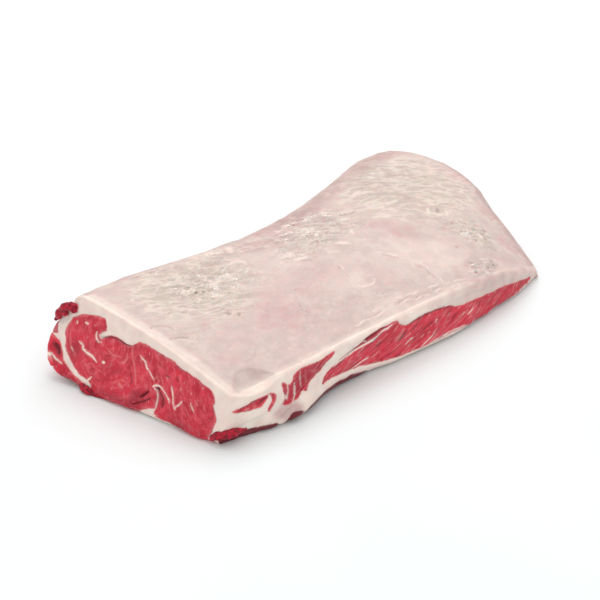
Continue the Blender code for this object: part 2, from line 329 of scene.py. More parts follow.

# Soft ovals on the top, for each mark: strength, middle, radii and turn. Places are (x, y). The small pale
# ovals are partly whiter fat and partly painted glints.
TOP_SPOTS = {
    "aged": (
        (1, -138, 20, 96, 70, -12), (1, -124, 2, 44, 22, -25), (0.55, -60, 48, 50, 26, 8),
        (1, 150, 28, 122, 92, 0), (0.85, 146, -58, 44, 32, -50), (0.8, 132, -98, 14, 9, 0),
        (0.7, 200, -45, 20, 14, -50), (0.5, -5, -86, 24, 9, 5), (0.5, -190, -32, 26, 12, 20),
        (0.4, -163, -71, 16, 8, 20), (0.5, 10, 10, 60, 40, 12), (0.8, -48, 34, 34, 16, -25),
    ),
    "pink": (
        (0.95, -105, -52, 30, 34, -20), (0.7, -90, -30, 22, 16, 0), (0.45, -50, -36, 46, 30, -20),
        (0.4, -150, -50, 40, 24, 20), (0.9, -48, 36, 36, 15, -25), (1, -47, 43, 12, 3.5, -22),
        (1, 14, 46, 15, 4.5, -22), (0.9, -99, -3, 4.5, 4.5, 0), (1, 66, -10, 26, 9, -42),
        (0.7, 78, -34, 22, 12, -30), (1, -100, -2, 6, 5, 0), (0.8, -166, -26, 15, 6, 20),
        (0.8, -68, -39, 8, 7, 0), (0.7, -196, 62, 28, 12, -40), (0.9, -8, 48, 40, 22, -35),
        (0.7, 40, 52, 40, 12, 14), (0.95, 172, 92, 62, 9, -6), (0.9, 222, 24, 14, 36, 0),
        (0.9, 207, -32, 16, 26, -18), (0.9, 184, -78, 20, 16, -40), (0.6, 150, -96, 40, 12, 0),
        (0.5, 158, 46, 46, 10, -20), (0.95, 123, -49, 9, 6, -60), (0.8, 108, -72, 6, 5, 0),
        (0.8, 100, -98, 12, 10, 0), (0.45, -170, -70, 24, 14, -30),
    ),
    "dark": (
        (0.35, -47, 43, 11, 2.5, -22), (0.3, 14, 46, 12, 3, -22), (0.14, -44, 34, 44, 22, -25),
        (0.1, 150, 30, 80, 50, 0),
    ),
    "pale": (
        (0.25, 72, -68, 60, 34, -20), (0.2, -23, -54, 34, 22, 0), (0.25, -6, -100, 44, 14, 0),
        (0.6, 69, 64, 6, 5, 0), (0.6, -65, 47, 6, 8, 0), (0.6, 3, 31, 9, 5, -20),
        (0.6, -32, 5, 9, 4.5, -40), (0.6, -28, -9, 13, 4, -10), (0.6, 16, -12, 10, 4.5, -20),
    ),
    "rough": (
        (1, 16, 22, 84, 44, 0), (0.75, -30, 6, 34, 24, -30), (0.85, -126, 16, 72, 46, -18),
        (0.8, -84, 42, 30, 26, 0), (0.6, 138, 44, 86, 48, 8), (0.9, 146, -58, 40, 30, -50),
        (1, 114, -104, 34, 10, 0), (0.7, -146, 62, 44, 10, -20), (0.35, -178, -26, 34, 24, -30),
        (0.25, -60, -60, 60, 40, 0),
    ),
}

# Pits in the top: radius, depth and middle.
TOP_PITS = (
    (2.6, 1.7, -139, 12), (2.2, 1.4, -134, 9), (3.4, 2, -136, -25), (2.4, 1.5, -129, -31),
    (1.5, 1, 98, -104), (1.3, 0.9, 106, -102), (1.5, 1, 117, -104), (1.3, 0.9, 127, -102),
    (3.2, 1.6, 140, -22), (2.6, 1.6, 155, -65), (2.4, 1.5, 142, -61), (2, 1.2, 139, -71),
    (2.2, 1.4, 164, -60), (1.8, 1.2, 147, -53), (3.4, 1.1, 130, -98), (1.6, 1, -69, -38),
    (1.5, 1, 108, -72), (1.8, 1.3, 139, -42), (2.4, 1.2, 197, -43), (1.6, 1.1, 10, -12), (1.8, 1.2, 21, 42),
    (1.5, 1, -1, 2), (1.4, 0.9, 6, 18), (1.4, 0.9, -15, 19), (1.6, 1, -185, -34), (1.5, 0.9, -204, -5),
)

# Ridges and furrows of the top, for the mark that each has: width, height and places. Pale ridges are partly
# painted highlight on their crests, and dark furrows are painted shade.
TOP_LINES = {
    "pale": (
        (2.2, 0.8, -172, 5, -163, 1, -156, -6, -152, -12), (2, 0.8, -161, 7, -155, 0, -147, -5),
        (2.2, 0.8, -143, -9, -133, -15, -123, -13, -115, -17), (2, 0.7, -141, 30, -132, 25, -127, 18),
        (2, 0.7, -124, 15, -114, 9, -102, 2), (2.4, 0.7, -101, 22, -88, 25, -76, 21, -78, 12, -87, 6),
        (3, 0.7, -172, 68, -158, 66, -150, 62), (2.6, 0.7, -140, 64, -130, 58, -124, 60),
        (2.6, 0.9, 0, 34, 5, 26, 9, 22), (2.4, 0.9, -7, 17, 1, 6, 8, 2), (2.2, 0.8, -18, 35, -8, 31),
        (2.2, 0.9, 38, 35, 48, 30, 58, 28, 68, 23), (2.2, 0.8, -36, 14, -31, 3),
        (2, 1, -30, 1, -33, -8, -31, -14), (2.2, 0.8, -12, -13, -2, -16, 4, -20),
        (2.2, 0.8, 9, -11, 16, -14, 24, -17), (1.6, 0.5, -10, -35, -12, -46, -10, -57),
        (2, 0.5, 30, -38, 43, -57, 56, -74, 58, -92, 55, -106),
        (1.6, 0.5, -64, -98, -34, -99, -3, -100, 27, -103, 55, -108, 85, -111),
        (1.4, 0.4, -30, -94, 0, -95, 30, -98, 60, -103, 86, -107), (2, 0.6, 112, 60, 138, 50, 158, 36),
        (2, 0.6, 84, 44, 110, 32, 130, 14), (2.4, 0.8, 158, 22, 168, 18, 177, 14),
        (2.2, 0.9, 148, -14, 150, -22, 144, -30, 134, -28, 130, -20, 136, -14, 146, -13),
        (2, 0.9, 137, -40, 143, -44), (1.8, 0.7, -26, -62, -10, -70, 4, -66),
        (1.8, 0.5, 70, 4, 90, -14, 100, -30),
    ),
    "dark": (
        (1.8, -0.9, -177, 3, -164, -3, -158, -11), (1.8, -0.9, -146, -14, -136, -20, -124, -20, -112, -26),
        (1.5, -0.7, -204, -4, -194, -7, -189, -16), (1.5, -0.7, -202, -26, -190, -28, -184, -35),
        (1.5, -0.6, -142, 24, -134, 18, -128, 9), (1.8, -0.9, -42, -8, -34, -14, -25, -18),
        (1.6, -0.8, 50, 26, 58, 23, 68, 20), (1.4, -0.6, -13, -35, -16, -46, -14, -57),
        (1, -0.5, -76, -47, -82, -60, -78, -72), (1.2, -0.4, -8, -84, 2, -86),
        (1.1, -0.4, 33, -46, 43, -62, 54, -80, 54, -98, 56, -110),
        (1, -0.4, -44, -97, -10, -97, 20, -100, 50, -105), (2, -0.7, 137, 82, 167, 80, 190, 74, 212, 58),
        (1.6, -0.6, 120, 68, 146, 58, 170, 40), (1.5, -0.5, 100, 56, 126, 44, 150, 26),
    ),
    "pink": (
        (1.6, -0.6, -174, -20, -166, -26, -155, -30), (1.8, -0.8, 5, 54, 11, 48, 18, 40),
        (1.8, -0.7, -2, 40, -9, 38, -16, 30), (1.8, -0.7, -67, -28, -71, -38, -76, -47),
        (3.4, -0.4, -14, -82, -2, -86, 10, -86), (2, -0.6, 124, -41, 123, -49, 121, -57),
        (1.5, -0.3, -167, -94, -161, -96, -156, -98),
    ),
}

# Seams and folds on the rump end, in (y, z), as on the cut, with the folds painted dark as shade.
RUMP_VEINS = (
    (2.4, 1, 96, 8, 70, 16, 40, 15, 14, 22, -10, 18), (1.6, 1, 60, 34, 44, 30, 30, 32),
    (1.4, 0.9, 84, 40, 72, 36), (1.3, 0.8, 6, 34, -6, 30, -16, 30), (1.2, 0.6, 28, 10, 12, 8, -4, 10),
    (1.2, 0.6, -40, 14, -52, 11),
)
RUMP_FOLDS = (
    (2, 1.2, 92, 11, 70, 19, 42, 18), (1.8, 0.8, 20, 26, 8, 28),
)

GRAIN = (0.93, 0.0, 0.37)       # the way the muscle's fibres run
SLITS = (0.0, -0.5, -0.87)      # the way they run on the cut's smaller muscle
LARGE_MUSCLE_MIDDLE = (30, 46)  # what they run round on its larger one, as (y, z)
WRINKLES = (0.93, -0.37, 0.0)   # the way the cap's wrinkles run
BACK_FAT_LINE = 44              # height of the cap's edge on the back side
BACK_STRAP_END = -150           # at lower x the back side is bare lean below that edge
STRAP_MIDDLE = 67               # y of the strap at the cut's back foot
STRAP_LIFT = 4.5
RIB_SPACING = 34
SCOOP_LOW = (-105.0, 37.5)      # the two edges of a scoop off the cap's front edge, as (y, z)
SCOOP_HIGH = (-91.0, 47.5)
SCOOP_MIDDLE = -178             # x of its middle, then how far from it the scoop is SCOOP_RISE less deep
SCOOP_REACH = 23
SCOOP_RISE = 6
SCOOP_MOST = 9
BITS_LOWEST = 3                 # strands and flecks start this far off the ground
FAR = 12.0                      # distances to a line or an outline stop growing here
DEEP_IN_FAT = 6.0               # the distance of places that no lean is drawn near
VEIN_IS_FAT = 0.72              # fainter veins than this only tint the lean
POINTS_AT_ONCE = 4000
MARKS = ("fat", "pink", "aged", "dark", "pale", "rough")


def path_points(places, closed, steps=5):
    """Smooth line through flat places, which are given as a plain run of numbers."""
    places = np.reshape(places, (-1, 2)).astype(float)
    if closed:
        padded = np.vstack([places[-1:], places, places[:2]])
    else:
        padded = np.vstack([2 * places[:1] - places[1:2], places, 2 * places[-1:] - places[-2:-1]])
    t = (np.arange(steps) / steps)[:, None]
    made = []
    for i in range(len(padded) - 3):
        a, b, c, d = padded[i:i + 4]
        made.append(0.5 * (2 * b + (c - a) * t + (2 * a - 5 * b + 4 * c - d) * t ** 2
                           + (3 * b - a - 3 * c + d) * t ** 3))
    return np.vstack(made + [places[:1] if closed else places[-1:]])


def nearest_on(line, points):
    """Distance from each point to the line, and how far along the line the nearest place is."""
    start = line[:-1]
    step = line[1:] - start
    length = np.maximum((step ** 2).sum(axis=1), 1e-9)
    found, reached = np.full(len(points), FAR), np.zeros(len(points))
    low, high = line.min(axis=0) - FAR, line.max(axis=0) + FAR
    near = np.flatnonzero(((points > low) & (points < high)).all(axis=1))
    for first in range(0, len(near), POINTS_AT_ONCE):
        chosen = near[first:first + POINTS_AT_ONCE]
        part = points[chosen, None, :] - start[None]
        share = np.clip((part * step).sum(axis=2) / length, 0, 1)
        gap = ((part - share[..., None] * step) ** 2).sum(axis=2)
        best = gap.argmin(axis=1)
        rows = np.arange(len(chosen))
        found[chosen] = np.minimum(np.sqrt(gap[rows, best]), FAR)
        reached[chosen] = (best + share[rows, best]) / len(step)
    return found, reached


def nearest_path(path, width, points):
    """Distance from each point to a drawn line, and the line's width there: it is thin at both ends."""
    gap, reached = nearest_on(path_points(path, closed=False), points)
    return gap, width * (0.35 + 0.65 * np.sqrt(np.clip(4 * reached * (1 - reached), 0, 1)))


def depth_inside(places, points):
    """Distance in from the outline of an area, negative outside it."""
    loop = path_points(places, closed=True)
    x, y = points[:, 0], points[:, 1]
    odd = np.zeros(len(points), bool)
    for (ax, ay), (bx, by) in zip(loop[:-1], loop[1:]):
        if ay != by:
            crosses = (ay > y) != (by > y)
            odd ^= crosses & (x < (bx - ax) * (y - ay) / (by - ay) + ax)
    gap = nearest_on(loop, points)[0]
    return np.where(odd, gap, -gap)


def lumps(points, size, seed):
    """Smooth lumps between -1 and 1, as wide as size, at each point."""
    scaled = points / size + np.array([seed * 3.7, seed * 7.1, seed * 1.9])
    return np.array([noise.noise(place) for place in scaled.tolist()])


def drawn_out(points, way, length, width, seed):
    """Smooth lumps between -1 and 1 that are long one way and narrow across it."""
    way = np.array(way)
    ahead = (points @ way)[:, None] * way
    return lumps(ahead / length + (points - ahead) / width, 1, seed)


def lumpy(points, seed, *waves):
    """Lumps of each (height, size) on top of each other."""
    return sum(height * lumps(points, size, seed + i) for i, (height, size) in enumerate(waves))


def wander(points, size, seed):
    """Lumps in two directions, which move flat places about."""
    return np.stack([lumps(points, size, seed), lumps(points, size, seed + 1)], axis=-1)


def blob(points, x, y, wide, high, turn=0):
    """Soft oval spot: 1 in its middle and 0 past its rim."""
    cos, sin = math.cos(math.radians(turn)), math.sin(math.radians(turn))
    away = points - np.array([x, y], float)
    u = (away[:, 0] * cos + away[:, 1] * sin) / wide
    v = (away[:, 1] * cos - away[:, 0] * sin) / high
    return smooth(1 - np.sqrt(u * u + v * v), 0, 0.7)


# ------------------------------------------------------------------ meshes and objects

def new_object(name, data):
    """Makes an object and links it into the scene."""
    made = bpy.data.objects.new(name, data)
    bpy.context.scene.collection.objects.link(made)
    return made


def finished_mesh(host, name):
    """The mesh that an object's modifiers make of it. The object itself is removed."""
    graph = bpy.context.evaluated_depsgraph_get()
    mesh = bpy.data.meshes.new_from_object(host.evaluated_get(graph))
    bpy.data.objects.remove(host)
    mesh.name = name
    return mesh


def read_vertices(mesh, what):
    """A mesh's places or normals, as rows of three."""
    values = np.empty(len(mesh.vertices) * 3, np.float32)
    mesh.vertices.foreach_get(what, values)
    return values.reshape(-1, 3)


def move_vertices(mesh, points, lowest):
    """Moves a mesh's vertices to places in millimetres, none of them lower than the lowest."""
    points[:, 2] = np.maximum(points[:, 2], lowest)
    mesh.vertices.foreach_set("co", (points * MM).astype(np.float32).ravel())
    mesh.update()


def add_mark(mesh, name, values):
    """Stores one number at each point of a mesh."""
    mark = mesh.attributes.new(name, "FLOAT", "POINT")
    mark.data.foreach_set("value", np.asarray(values, np.float32))


def place_piece(piece, slot, *nodes):
    """Rides on the loin's one body, and stands for the CAD nodes given. The slot is not used."""
    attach(piece, "root")
    if nodes:
        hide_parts(*nodes)


def unit(vectors):
    return vectors / np.linalg.norm(vectors, axis=1)[:, None]


# ------------------------------------------------------------------ a layer's fine skin

CELLS_ALONG = 380
CELLS_ACROSS = 280
LEAN_ROWS = 80
LEAN_FOOT_ROWS = 12         # rows that turn under the foot's rounded edge
CAP_ROWS = 36
CAP_CROWN_ROWS = 12         # rows that turn over the top's rounded edge
CROWD_ALONG = 0.35          # how much finer the cells are near a side's ends, then near the rump
CROWD_ACROSS = 0.3
CROWD_RUMP = 1.15
LAYER_GAP = 0.35
SHARP_ANGLE = 70

# Each side of a block: its axis, and 0 or 1 for the end of that axis.
SIDES = {"cut": (0, 0), "rump": (0, 1), "front": (1, 0), "back": (1, 1), "under": (2, 0), "over": (2, 1)}

# How many cells of the block one face takes, along the side's two axes.
LEAN_FACES = {"cut": (1, 1), "rump": (2, 2), "front": (1, 1), "back": (2, 2), "under": (4, 4), "over": (4, 4)}
CAP_FACES = {**LEAN_FACES, "over": (1, 2)}


def edge_run(start, stop, fine):
    """Cell corners from start up to stop: all of them on a fine edge, or else the first alone."""
    way = 1 if stop > start else -1
    return range(start, stop, way) if fine else (start,)


def block_faces(counts, face_sizes):
    """Corners and faces of a block's surface. All of its edges are fine, so that its sides join."""
    numbers, places, faces = {}, [], []
    for side, (axis, end) in SIDES.items():
        u_axis, v_axis = [other for other in range(3) if other != axis]
        most_u, most_v = counts[u_axis], counts[v_axis]
        step_u, step_v = face_sizes[side]
        inside_out = (end == 0) != (axis == 1)
        for u in range(0, most_u, step_u):
            for v in range(0, most_v, step_v):
                next_u, next_v = u + step_u, v + step_v
                ring = [(a, v) for a in edge_run(u, next_u, v == 0)]
                ring += [(next_u, b) for b in edge_run(v, next_v, next_u == most_u)]
                ring += [(a, next_v) for a in edge_run(next_u, u, next_v == most_v)]
                ring += [(u, b) for b in edge_run(next_v, v, u == 0)]
                face = []
                for a, b in ring:
                    place = [a, b]
                    place.insert(axis, counts[axis] * end)
                    place = tuple(place)
                    if place not in numbers:
                        numbers[place] = len(places)
                        places.append(place)
                    face.append(numbers[place])
                faces.append(face[::-1] if inside_out else face)
    return np.array(places), faces


def crowd(share, crowding):
    """Brings shares closer together near 0 and 1."""
    return share - crowding * np.sin(2 * np.pi * share) / (2 * np.pi)


class Skin:
    """A layer's fine surface: its points, what each of them shows, and how far it stands out."""

    def __init__(self, rows, foot_rows, crown_rows, face_sizes):
        counts = (CELLS_ALONG, CELLS_ACROSS, rows)
        places, self.faces = block_faces(counts, face_sizes)
        self.on = {side: places[:, axis] == counts[axis] * end for side, (axis, end) in SIDES.items()}
        self.set_shares(places, counts, foot_rows, crown_rows)
        self.points = body_point(self.along, self.across, self.up) + SHIFT
        wall = self.on["cut"] | self.on["rump"] | self.on["front"] | self.on["back"]
        meeting = self.on["over" if foot_rows else "under"]
        self.hidden, self.rim = meeting & ~wall, meeting & wall
        if foot_rows:
            self.points[self.hidden, 2] -= LAYER_GAP
        self.fat = np.full(len(places), DEEP_IN_FAT)
        self.relief, self.pink, self.aged, self.dark, self.pale, self.rough = np.zeros((6, len(places)))

    def set_shares(self, places, counts, foot_rows, crown_rows):
        """The three shares of each point. The foot's and crown's rows turn in under rounded edges."""
        row = places[:, 2]
        along = 1 - (1 - crowd(places[:, 0] / counts[0], CROWD_ALONG)) ** CROWD_RUMP
        across = crowd(places[:, 1] / counts[1], CROWD_ACROSS)
        width = width_at(along)
        length = curve(RUMP_END, across) - between(RIB_CUT_FOOT, across)
        if foot_rows:
            turn = np.clip(1 - row / foot_rows, 0, 1)
            cut, rump = CUT_FOOT_RADIUS, RUMP_FOOT_RADIUS
            front, back = curve(FRONT_FOOT_RADIUS, along), curve(BACK_FOOT_RADIUS, along)
        else:
            turn = np.clip(1 - (counts[2] - row) / crown_rows, 0, 1)
            cut, rump = CUT_TOP_RADIUS, between(RUMP_TOP_RADIUS, across)
            front, back = FRONT_TOP_RADIUS, BACK_TOP_RADIUS
        inset = 1 - np.cos(turn * np.pi / 2)
        self.along = inset * cut / length + (1 - inset * (cut + rump) / length) * along
        self.across = inset * front / width + (1 - inset * (front + back) / width) * across
        layer = layer_up(self.along, self.across)
        if foot_rows:
            self.up = layer * np.clip((row - foot_rows) / (counts[2] - foot_rows), 0, 1)
        else:
            self.up = layer + (1 - layer) * np.clip(row / (counts[2] - crown_rows), 0, 1)

    def rim_normals(self, mesh_normals):
        """Outward directions. On the rim they come from the whole loin, so that both layers agree."""
        step = 0.002
        shares = self.along[self.rim], self.across[self.rim]
        up = layer_up(*shares)
        rise = body_point(*shares, up + step) - body_point(*shares, up - step)
        found = np.zeros_like(rise)
        for side, way, moved in (("cut", -1, 1), ("rump", 1, 1), ("front", 1, 0), ("back", -1, 0)):
            low, high = list(shares), list(shares)
            low[moved] = np.clip(low[moved] - step, 0, 1)
            high[moved] = np.clip(high[moved] + step, 0, 1)
            turned = way * np.cross(body_point(*high, up) - body_point(*low, up), rise)
            found += self.on[side][self.rim][:, None] * unit(turned)
        normals = mesh_normals.copy()
        normals[self.rim] = unit(found)
        return normals

    def choose(self, chosen):
        """Takes the points that the next marks go on, and returns their places."""
        self.chosen = chosen
        return self.points[chosen]

    def share_out(self, area, fat):
        """Sets the distances into the fat, and returns the lean's share of each chosen point."""
        self.fat[self.chosen] = fat
        return smooth(-area, -0.5, 1.5)

    def draw(self, flat, lean_areas, fat_areas, veins, folds, base=DEEP_IN_FAT):
        """Marks the chosen points, whose flat places are given, with a side's areas and lines."""
        area, pale, dark, relief = np.zeros((4, len(flat)))
        area += base
        for outline in lean_areas:
            area = np.minimum(area, -depth_inside(outline, flat))
        for outline in fat_areas:
            area = np.maximum(area, depth_inside(outline, flat))
        fat = area
        for width, strength, *path in veins:
            gap, wide = nearest_path(path, width, flat)
            if strength > VEIN_IS_FAT:
                fat = np.maximum(fat, wide / 2 - gap)
            pale = np.maximum(pale, strength * smooth(1 - gap / (1.5 * wide), 0, 0.9))
            relief += 0.22 * strength * smooth(1 - gap / wide)
        # Each fold is sunk in and painted darker, as shade.
        for width, depth, *path in folds:
            gap, wide = nearest_path(path, width, flat)
            near = smooth(1 - gap / wide)
            dark = np.maximum(dark, near * min(1, 0.35 + depth / 3))
            relief -= depth * near
        self.pale[self.chosen], self.dark[self.chosen] = pale, dark
        self.raise_by(relief)
        return area, self.share_out(area, fat)

    def raise_by(self, relief):
        """Makes the chosen points stand out further."""
        self.relief[self.chosen] += relief

    def spot(self, what, strength):
        """Adds to one of the chosen points' marks, up to 1."""
        marks = getattr(self, what)
        marks[self.chosen] = np.clip(np.maximum(marks[self.chosen], strength), 0, 1)

    def make_object(self, name, material):
        """Writes the finished surface into an object."""
        mesh = bpy.data.meshes.new(name)
        mesh.from_pydata((self.points * MM).tolist(), [], self.faces)
        normals = self.rim_normals(read_vertices(mesh, "normal"))
        shown = np.where(self.hidden, 0, self.relief)
        move_vertices(mesh, self.points + normals * shown[:, None], CAD_LOW.z / MM)
        for mark in MARKS:
            add_mark(mesh, mark, getattr(self, mark))
        mesh.materials.append(material)
        mesh.shade_smooth()
        mesh.set_sharp_from_angle(angle=math.radians(SHARP_ANGLE))
        return new_object(name, mesh)


# ------------------------------------------------------------------ what each side shows

def draw_cut(skin):
    """The cut at the rib end: two muscles, the fascia round them, the strap and the fat's edge."""
    points, spot = skin.choose(skin.on["cut"]), skin.spot
    flat = points[:, 1:] + 0.7 * (wander(points, 7, 21) + 0.4 * wander(points, 2.4, 23))
    area, lean = skin.draw(flat, (CUT_LEAN, CUT_STRAP, CUT_FILM), (CUT_PATCH,), CUT_VEINS, CUT_FOLDS)
    relief = 1.6 * smooth(-area, 0, 12)
    relief += lean * lumpy(points, 25, (0.6, 9), (0.3, 3.2))
    relief += (1 - lean) * lumpy(points, 27, (0.5, 12), (0.2, 3))
    relief -= 0.45 * np.exp(-(area / 1.1) ** 2)
    away = flat - LARGE_MUSCLE_MIDDLE
    reach = np.linalg.norm(away, axis=1)
    arcs = lumps(np.column_stack([reach / 1.9, away / reach[:, None] * 1.7]), 1, 103)
    slits = drawn_out(points, SLITS, 8, 1.8, 104)
    streaks = lean * (arcs * smooth(flat[:, 0], -6, 6) + slits * smooth(-flat[:, 0], -6, 6))
    skin.raise_by(relief + 0.2 * streaks)
    film = smooth(depth_inside(CUT_FILM, flat), -0.5, 1.5)
    spot("pale", 0.2 * smooth(streaks, 0.12, 0.5))
    spot("dark", 0.14 * smooth(-streaks, 0.12, 0.5))
    spot("pale", 0.6 * film)
    spot("dark", 0.35 * film)
    # Painted shade on the meat, in soft ovals.
    for strength, *place in CUT_SHADES:
        spot("dark", strength * blob(flat, *place) * lean)
    spot("aged", 0.8 * blob(flat, 84, 50, 15, 12, 30) + 0.5 * blob(flat, 50, 66, 9, 4))
    spot("pink", 0.9 * blob(flat, 90, 40, 5, 9) + 0.6 * blob(flat, 34, 66, 16, 5))
    # The cut's fat is made paler, partly as clean cut fat and partly as painted light, as though lit from the
    # front.
    spot("pale", (1 - lean) * (0.85 + 0.25 * lumps(points, 9, 30)))
    spot("pink", (1 - lean) * (0.4 + 0.5 * lumps(points, 14, 106)))
    spot("pale", 0.4 * np.exp(-((area + 1.3) / 0.8) ** 2) * smooth(lumps(points, 8, 29), -0.3, 0.3))


def draw_front(skin):
    """The front side: windows of red under the cap's edge, then the long bare muscle with its grain."""
    points, spot = skin.choose(skin.on["front"]), skin.spot
    flat = points[:, (0, 2)] + 0.9 * (wander(points, 9, 31) + 0.5 * wander(points, 3, 33))
    area, lean = skin.draw(flat, FRONT_LEANS + FRONT_FOOT_LEANS, (), FRONT_VEINS, FRONT_FOLDS)
    grain = drawn_out(points, GRAIN, 34, 6, 35) * 0.8 + drawn_out(points, GRAIN, 24, 2.6, 36) * 0.45
    relief = 0.8 * smooth(-area, 0, 9) + lean * grain
    relief += (1 - lean) * lumpy(points, 37, (0.5, 14), (0.25, 4))
    skin.raise_by(relief - 0.7 * np.exp(-(area / 1.2) ** 2))
    # Painted shade at the ground along the foot, and in the foot's trimmings, which are darker meat as well.
    foot = 0.5 * smooth(1 - points[:, 2] / 2.5)
    for outline in FRONT_FOOT_LEANS:
        foot = np.maximum(foot, 0.95 * smooth(depth_inside(outline, flat), -1.5, 0.5))
    spot("dark", foot)
    spot("dark", 0.4 * lean * np.maximum(smooth(points[:, 0], 80, 170), blob(flat, -121, 30, 46, 26)))
    spot("dark", lean * 0.75 * smooth(drawn_out(points, GRAIN, 26, 2.2, 39), 0.1, 0.55))
    spot("pale", lean * 0.75 * smooth(drawn_out(points, GRAIN, 17, 1.5, 40), 0.2, 0.5))
    thin, stain = smooth(points[:, 0], 0, 110), blob(flat, -149, 12, 19, 12)
    # The front side's fat is made paler, partly as clean fat and partly as painted light, as though lit from
    # the front.
    spot("pale", (1 - lean) * (0.85 - 0.5 * thin + 0.3 * lumps(points, 11, 99)) * (1 - 0.8 * stain))
    spot("pink", (1 - lean) * (0.4 + 0.35 * thin + 0.7 * lumps(points, 13, 98)) + stain)
    spot("dark", 0.3 * stain * smooth(drawn_out(points, GRAIN, 14, 4, 108), 0, 0.5))


def lift_strap(skin):
    """Lifts the thin strap at the cut's back foot a little off the ground."""
    x, y, z = skin.points.T
    beside = np.exp(-((y - STRAP_MIDDLE) / 10) ** 2) * smooth(-x, 195, 230)
    skin.points[:, 2] += STRAP_LIFT * beside * (1 - smooth(z, 0, 24))


def shade_far_rim(skin):
    """Mauve-grey tint with painted shade over the rounded top edges at the back and at the rump, where they
    turn away from the light.
    """
    points, along, across = skin.points[skin.chosen], skin.along[skin.chosen], skin.across[skin.chosen]
    from_back = (1 - across) * width_at(along) / (1 + 0.8 * smooth(points[:, 0], -90, 20))
    from_rump = curve(RUMP_END, across) + SHIFT[0] - points[:, 0]
    close = 1 - (np.minimum(from_back, from_rump) + 3 * lumps(points, 12, 107)) / 22
    film = 1 - smooth(top_height(along, across) - points[:, 2], 9, 17)
    film *= 0.85 + 0.45 * lumps(points, 14, 59)
    # A mauve-grey tint, and painted shade on the band along the rim.
    skin.spot("pink", 0.9 * film * smooth(close, 0.1, 0.6))
    skin.spot("aged", 0.7 * film * smooth(close, 0.1, 0.7))
    skin.spot("dark", 0.6 * film * smooth(close, 0.15, 0.6))


def draw_back(skin):
    """The back side, along the backbone: the cap's edge, then bare muscle under patches of white sinew."""
    points, spot = skin.choose(skin.on["back"]), skin.spot
    line = BACK_FAT_LINE + 4 * lumps(points * (1, 0, 0), 46, 41) + 1.5 * lumps(points, 9, 42)
    above = points[:, 2] - line
    sinew = lumps(points / (3.5, 3.5, 1), 15, 43) + 0.4 * lumps(points, 7, 44)
    area = np.maximum(above, np.where(points[:, 0] < BACK_STRAP_END, -6, 11 * (sinew - 0.3)))
    lean = skin.share_out(area, area)
    relief = 0.9 * smooth(-area, 0, 8) + lean * (0.8 * drawn_out(points, GRAIN, 30, 6, 45))
    skin.raise_by(relief + (1 - lean) * lumpy(points, 46, (0.7, 13), (0.3, 4)))
    spot("pale", 0.6 * smooth(sinew, -0.05, 0.3) * lean)
    spot("dark", lean * (0.24 + 0.35 * smooth(drawn_out(points, GRAIN, 26, 3, 48), 0.1, 0.6)))
    spot("aged", 0.6 * (1 - lean) * smooth(lumps(points, 24, 49), -0.1, 0.5))
    shade_far_rim(skin)


def draw_rump(skin):
    """The rump end: a second cut through the muscle, under the cap's thin end."""
    points = skin.choose(skin.on["rump"])
    y = points[:, 1]
    flat = points[:, 1:] + 1.2 * wander(points, 9, 51)
    share = (y - SHIFT[1] - FRONT_SIDE[-1][1]) / (BACK_SIDE[-1][1] - FRONT_SIDE[-1][1])
    top = top_height(np.ones_like(share), np.clip(share, 0, 1))
    base = np.clip(flat[:, 1] - (top - (7 + 5 * smooth(y, 20, 100))), -8, DEEP_IN_FAT)
    area, lean = skin.draw(flat, (), (), RUMP_VEINS, RUMP_FOLDS, base)
    relief = 1.0 * smooth(-area, 0, 10) + lean * lumpy(points, 53, (0.5, 9), (0.2, 3))
    skin.raise_by(relief + (1 - lean) * 0.5 * lumps(points, 10, 55))
    skin.spot("dark", 0.26 * lean)
    shade_far_rim(skin)


def draw_under(skin):
    """Underneath: muscle and sinew, with the shallow marks that the ribs left across it."""
    edges = skin.on["cut"] | skin.on["front"] | skin.on["back"] | skin.on["rump"]
    points = skin.choose(skin.on["under"] & ~edges)
    sinew = lumps(points / (1, 2.4, 1), 16, 61) + 0.5 * lumps(points, 6, 62)
    ribs = np.cos(points[:, 0] / RIB_SPACING * 2 * np.pi) * smooth(60 - points[:, 0], 0, 120)
    area = 9 * (sinew + 0.35 * ribs - 0.25)
    skin.share_out(area, area)
    skin.spot("pale", 0.5 * smooth(sinew, 0, 0.4))
    skin.spot("dark", 0.4 * smooth(-sinew, 0.1, 0.5))


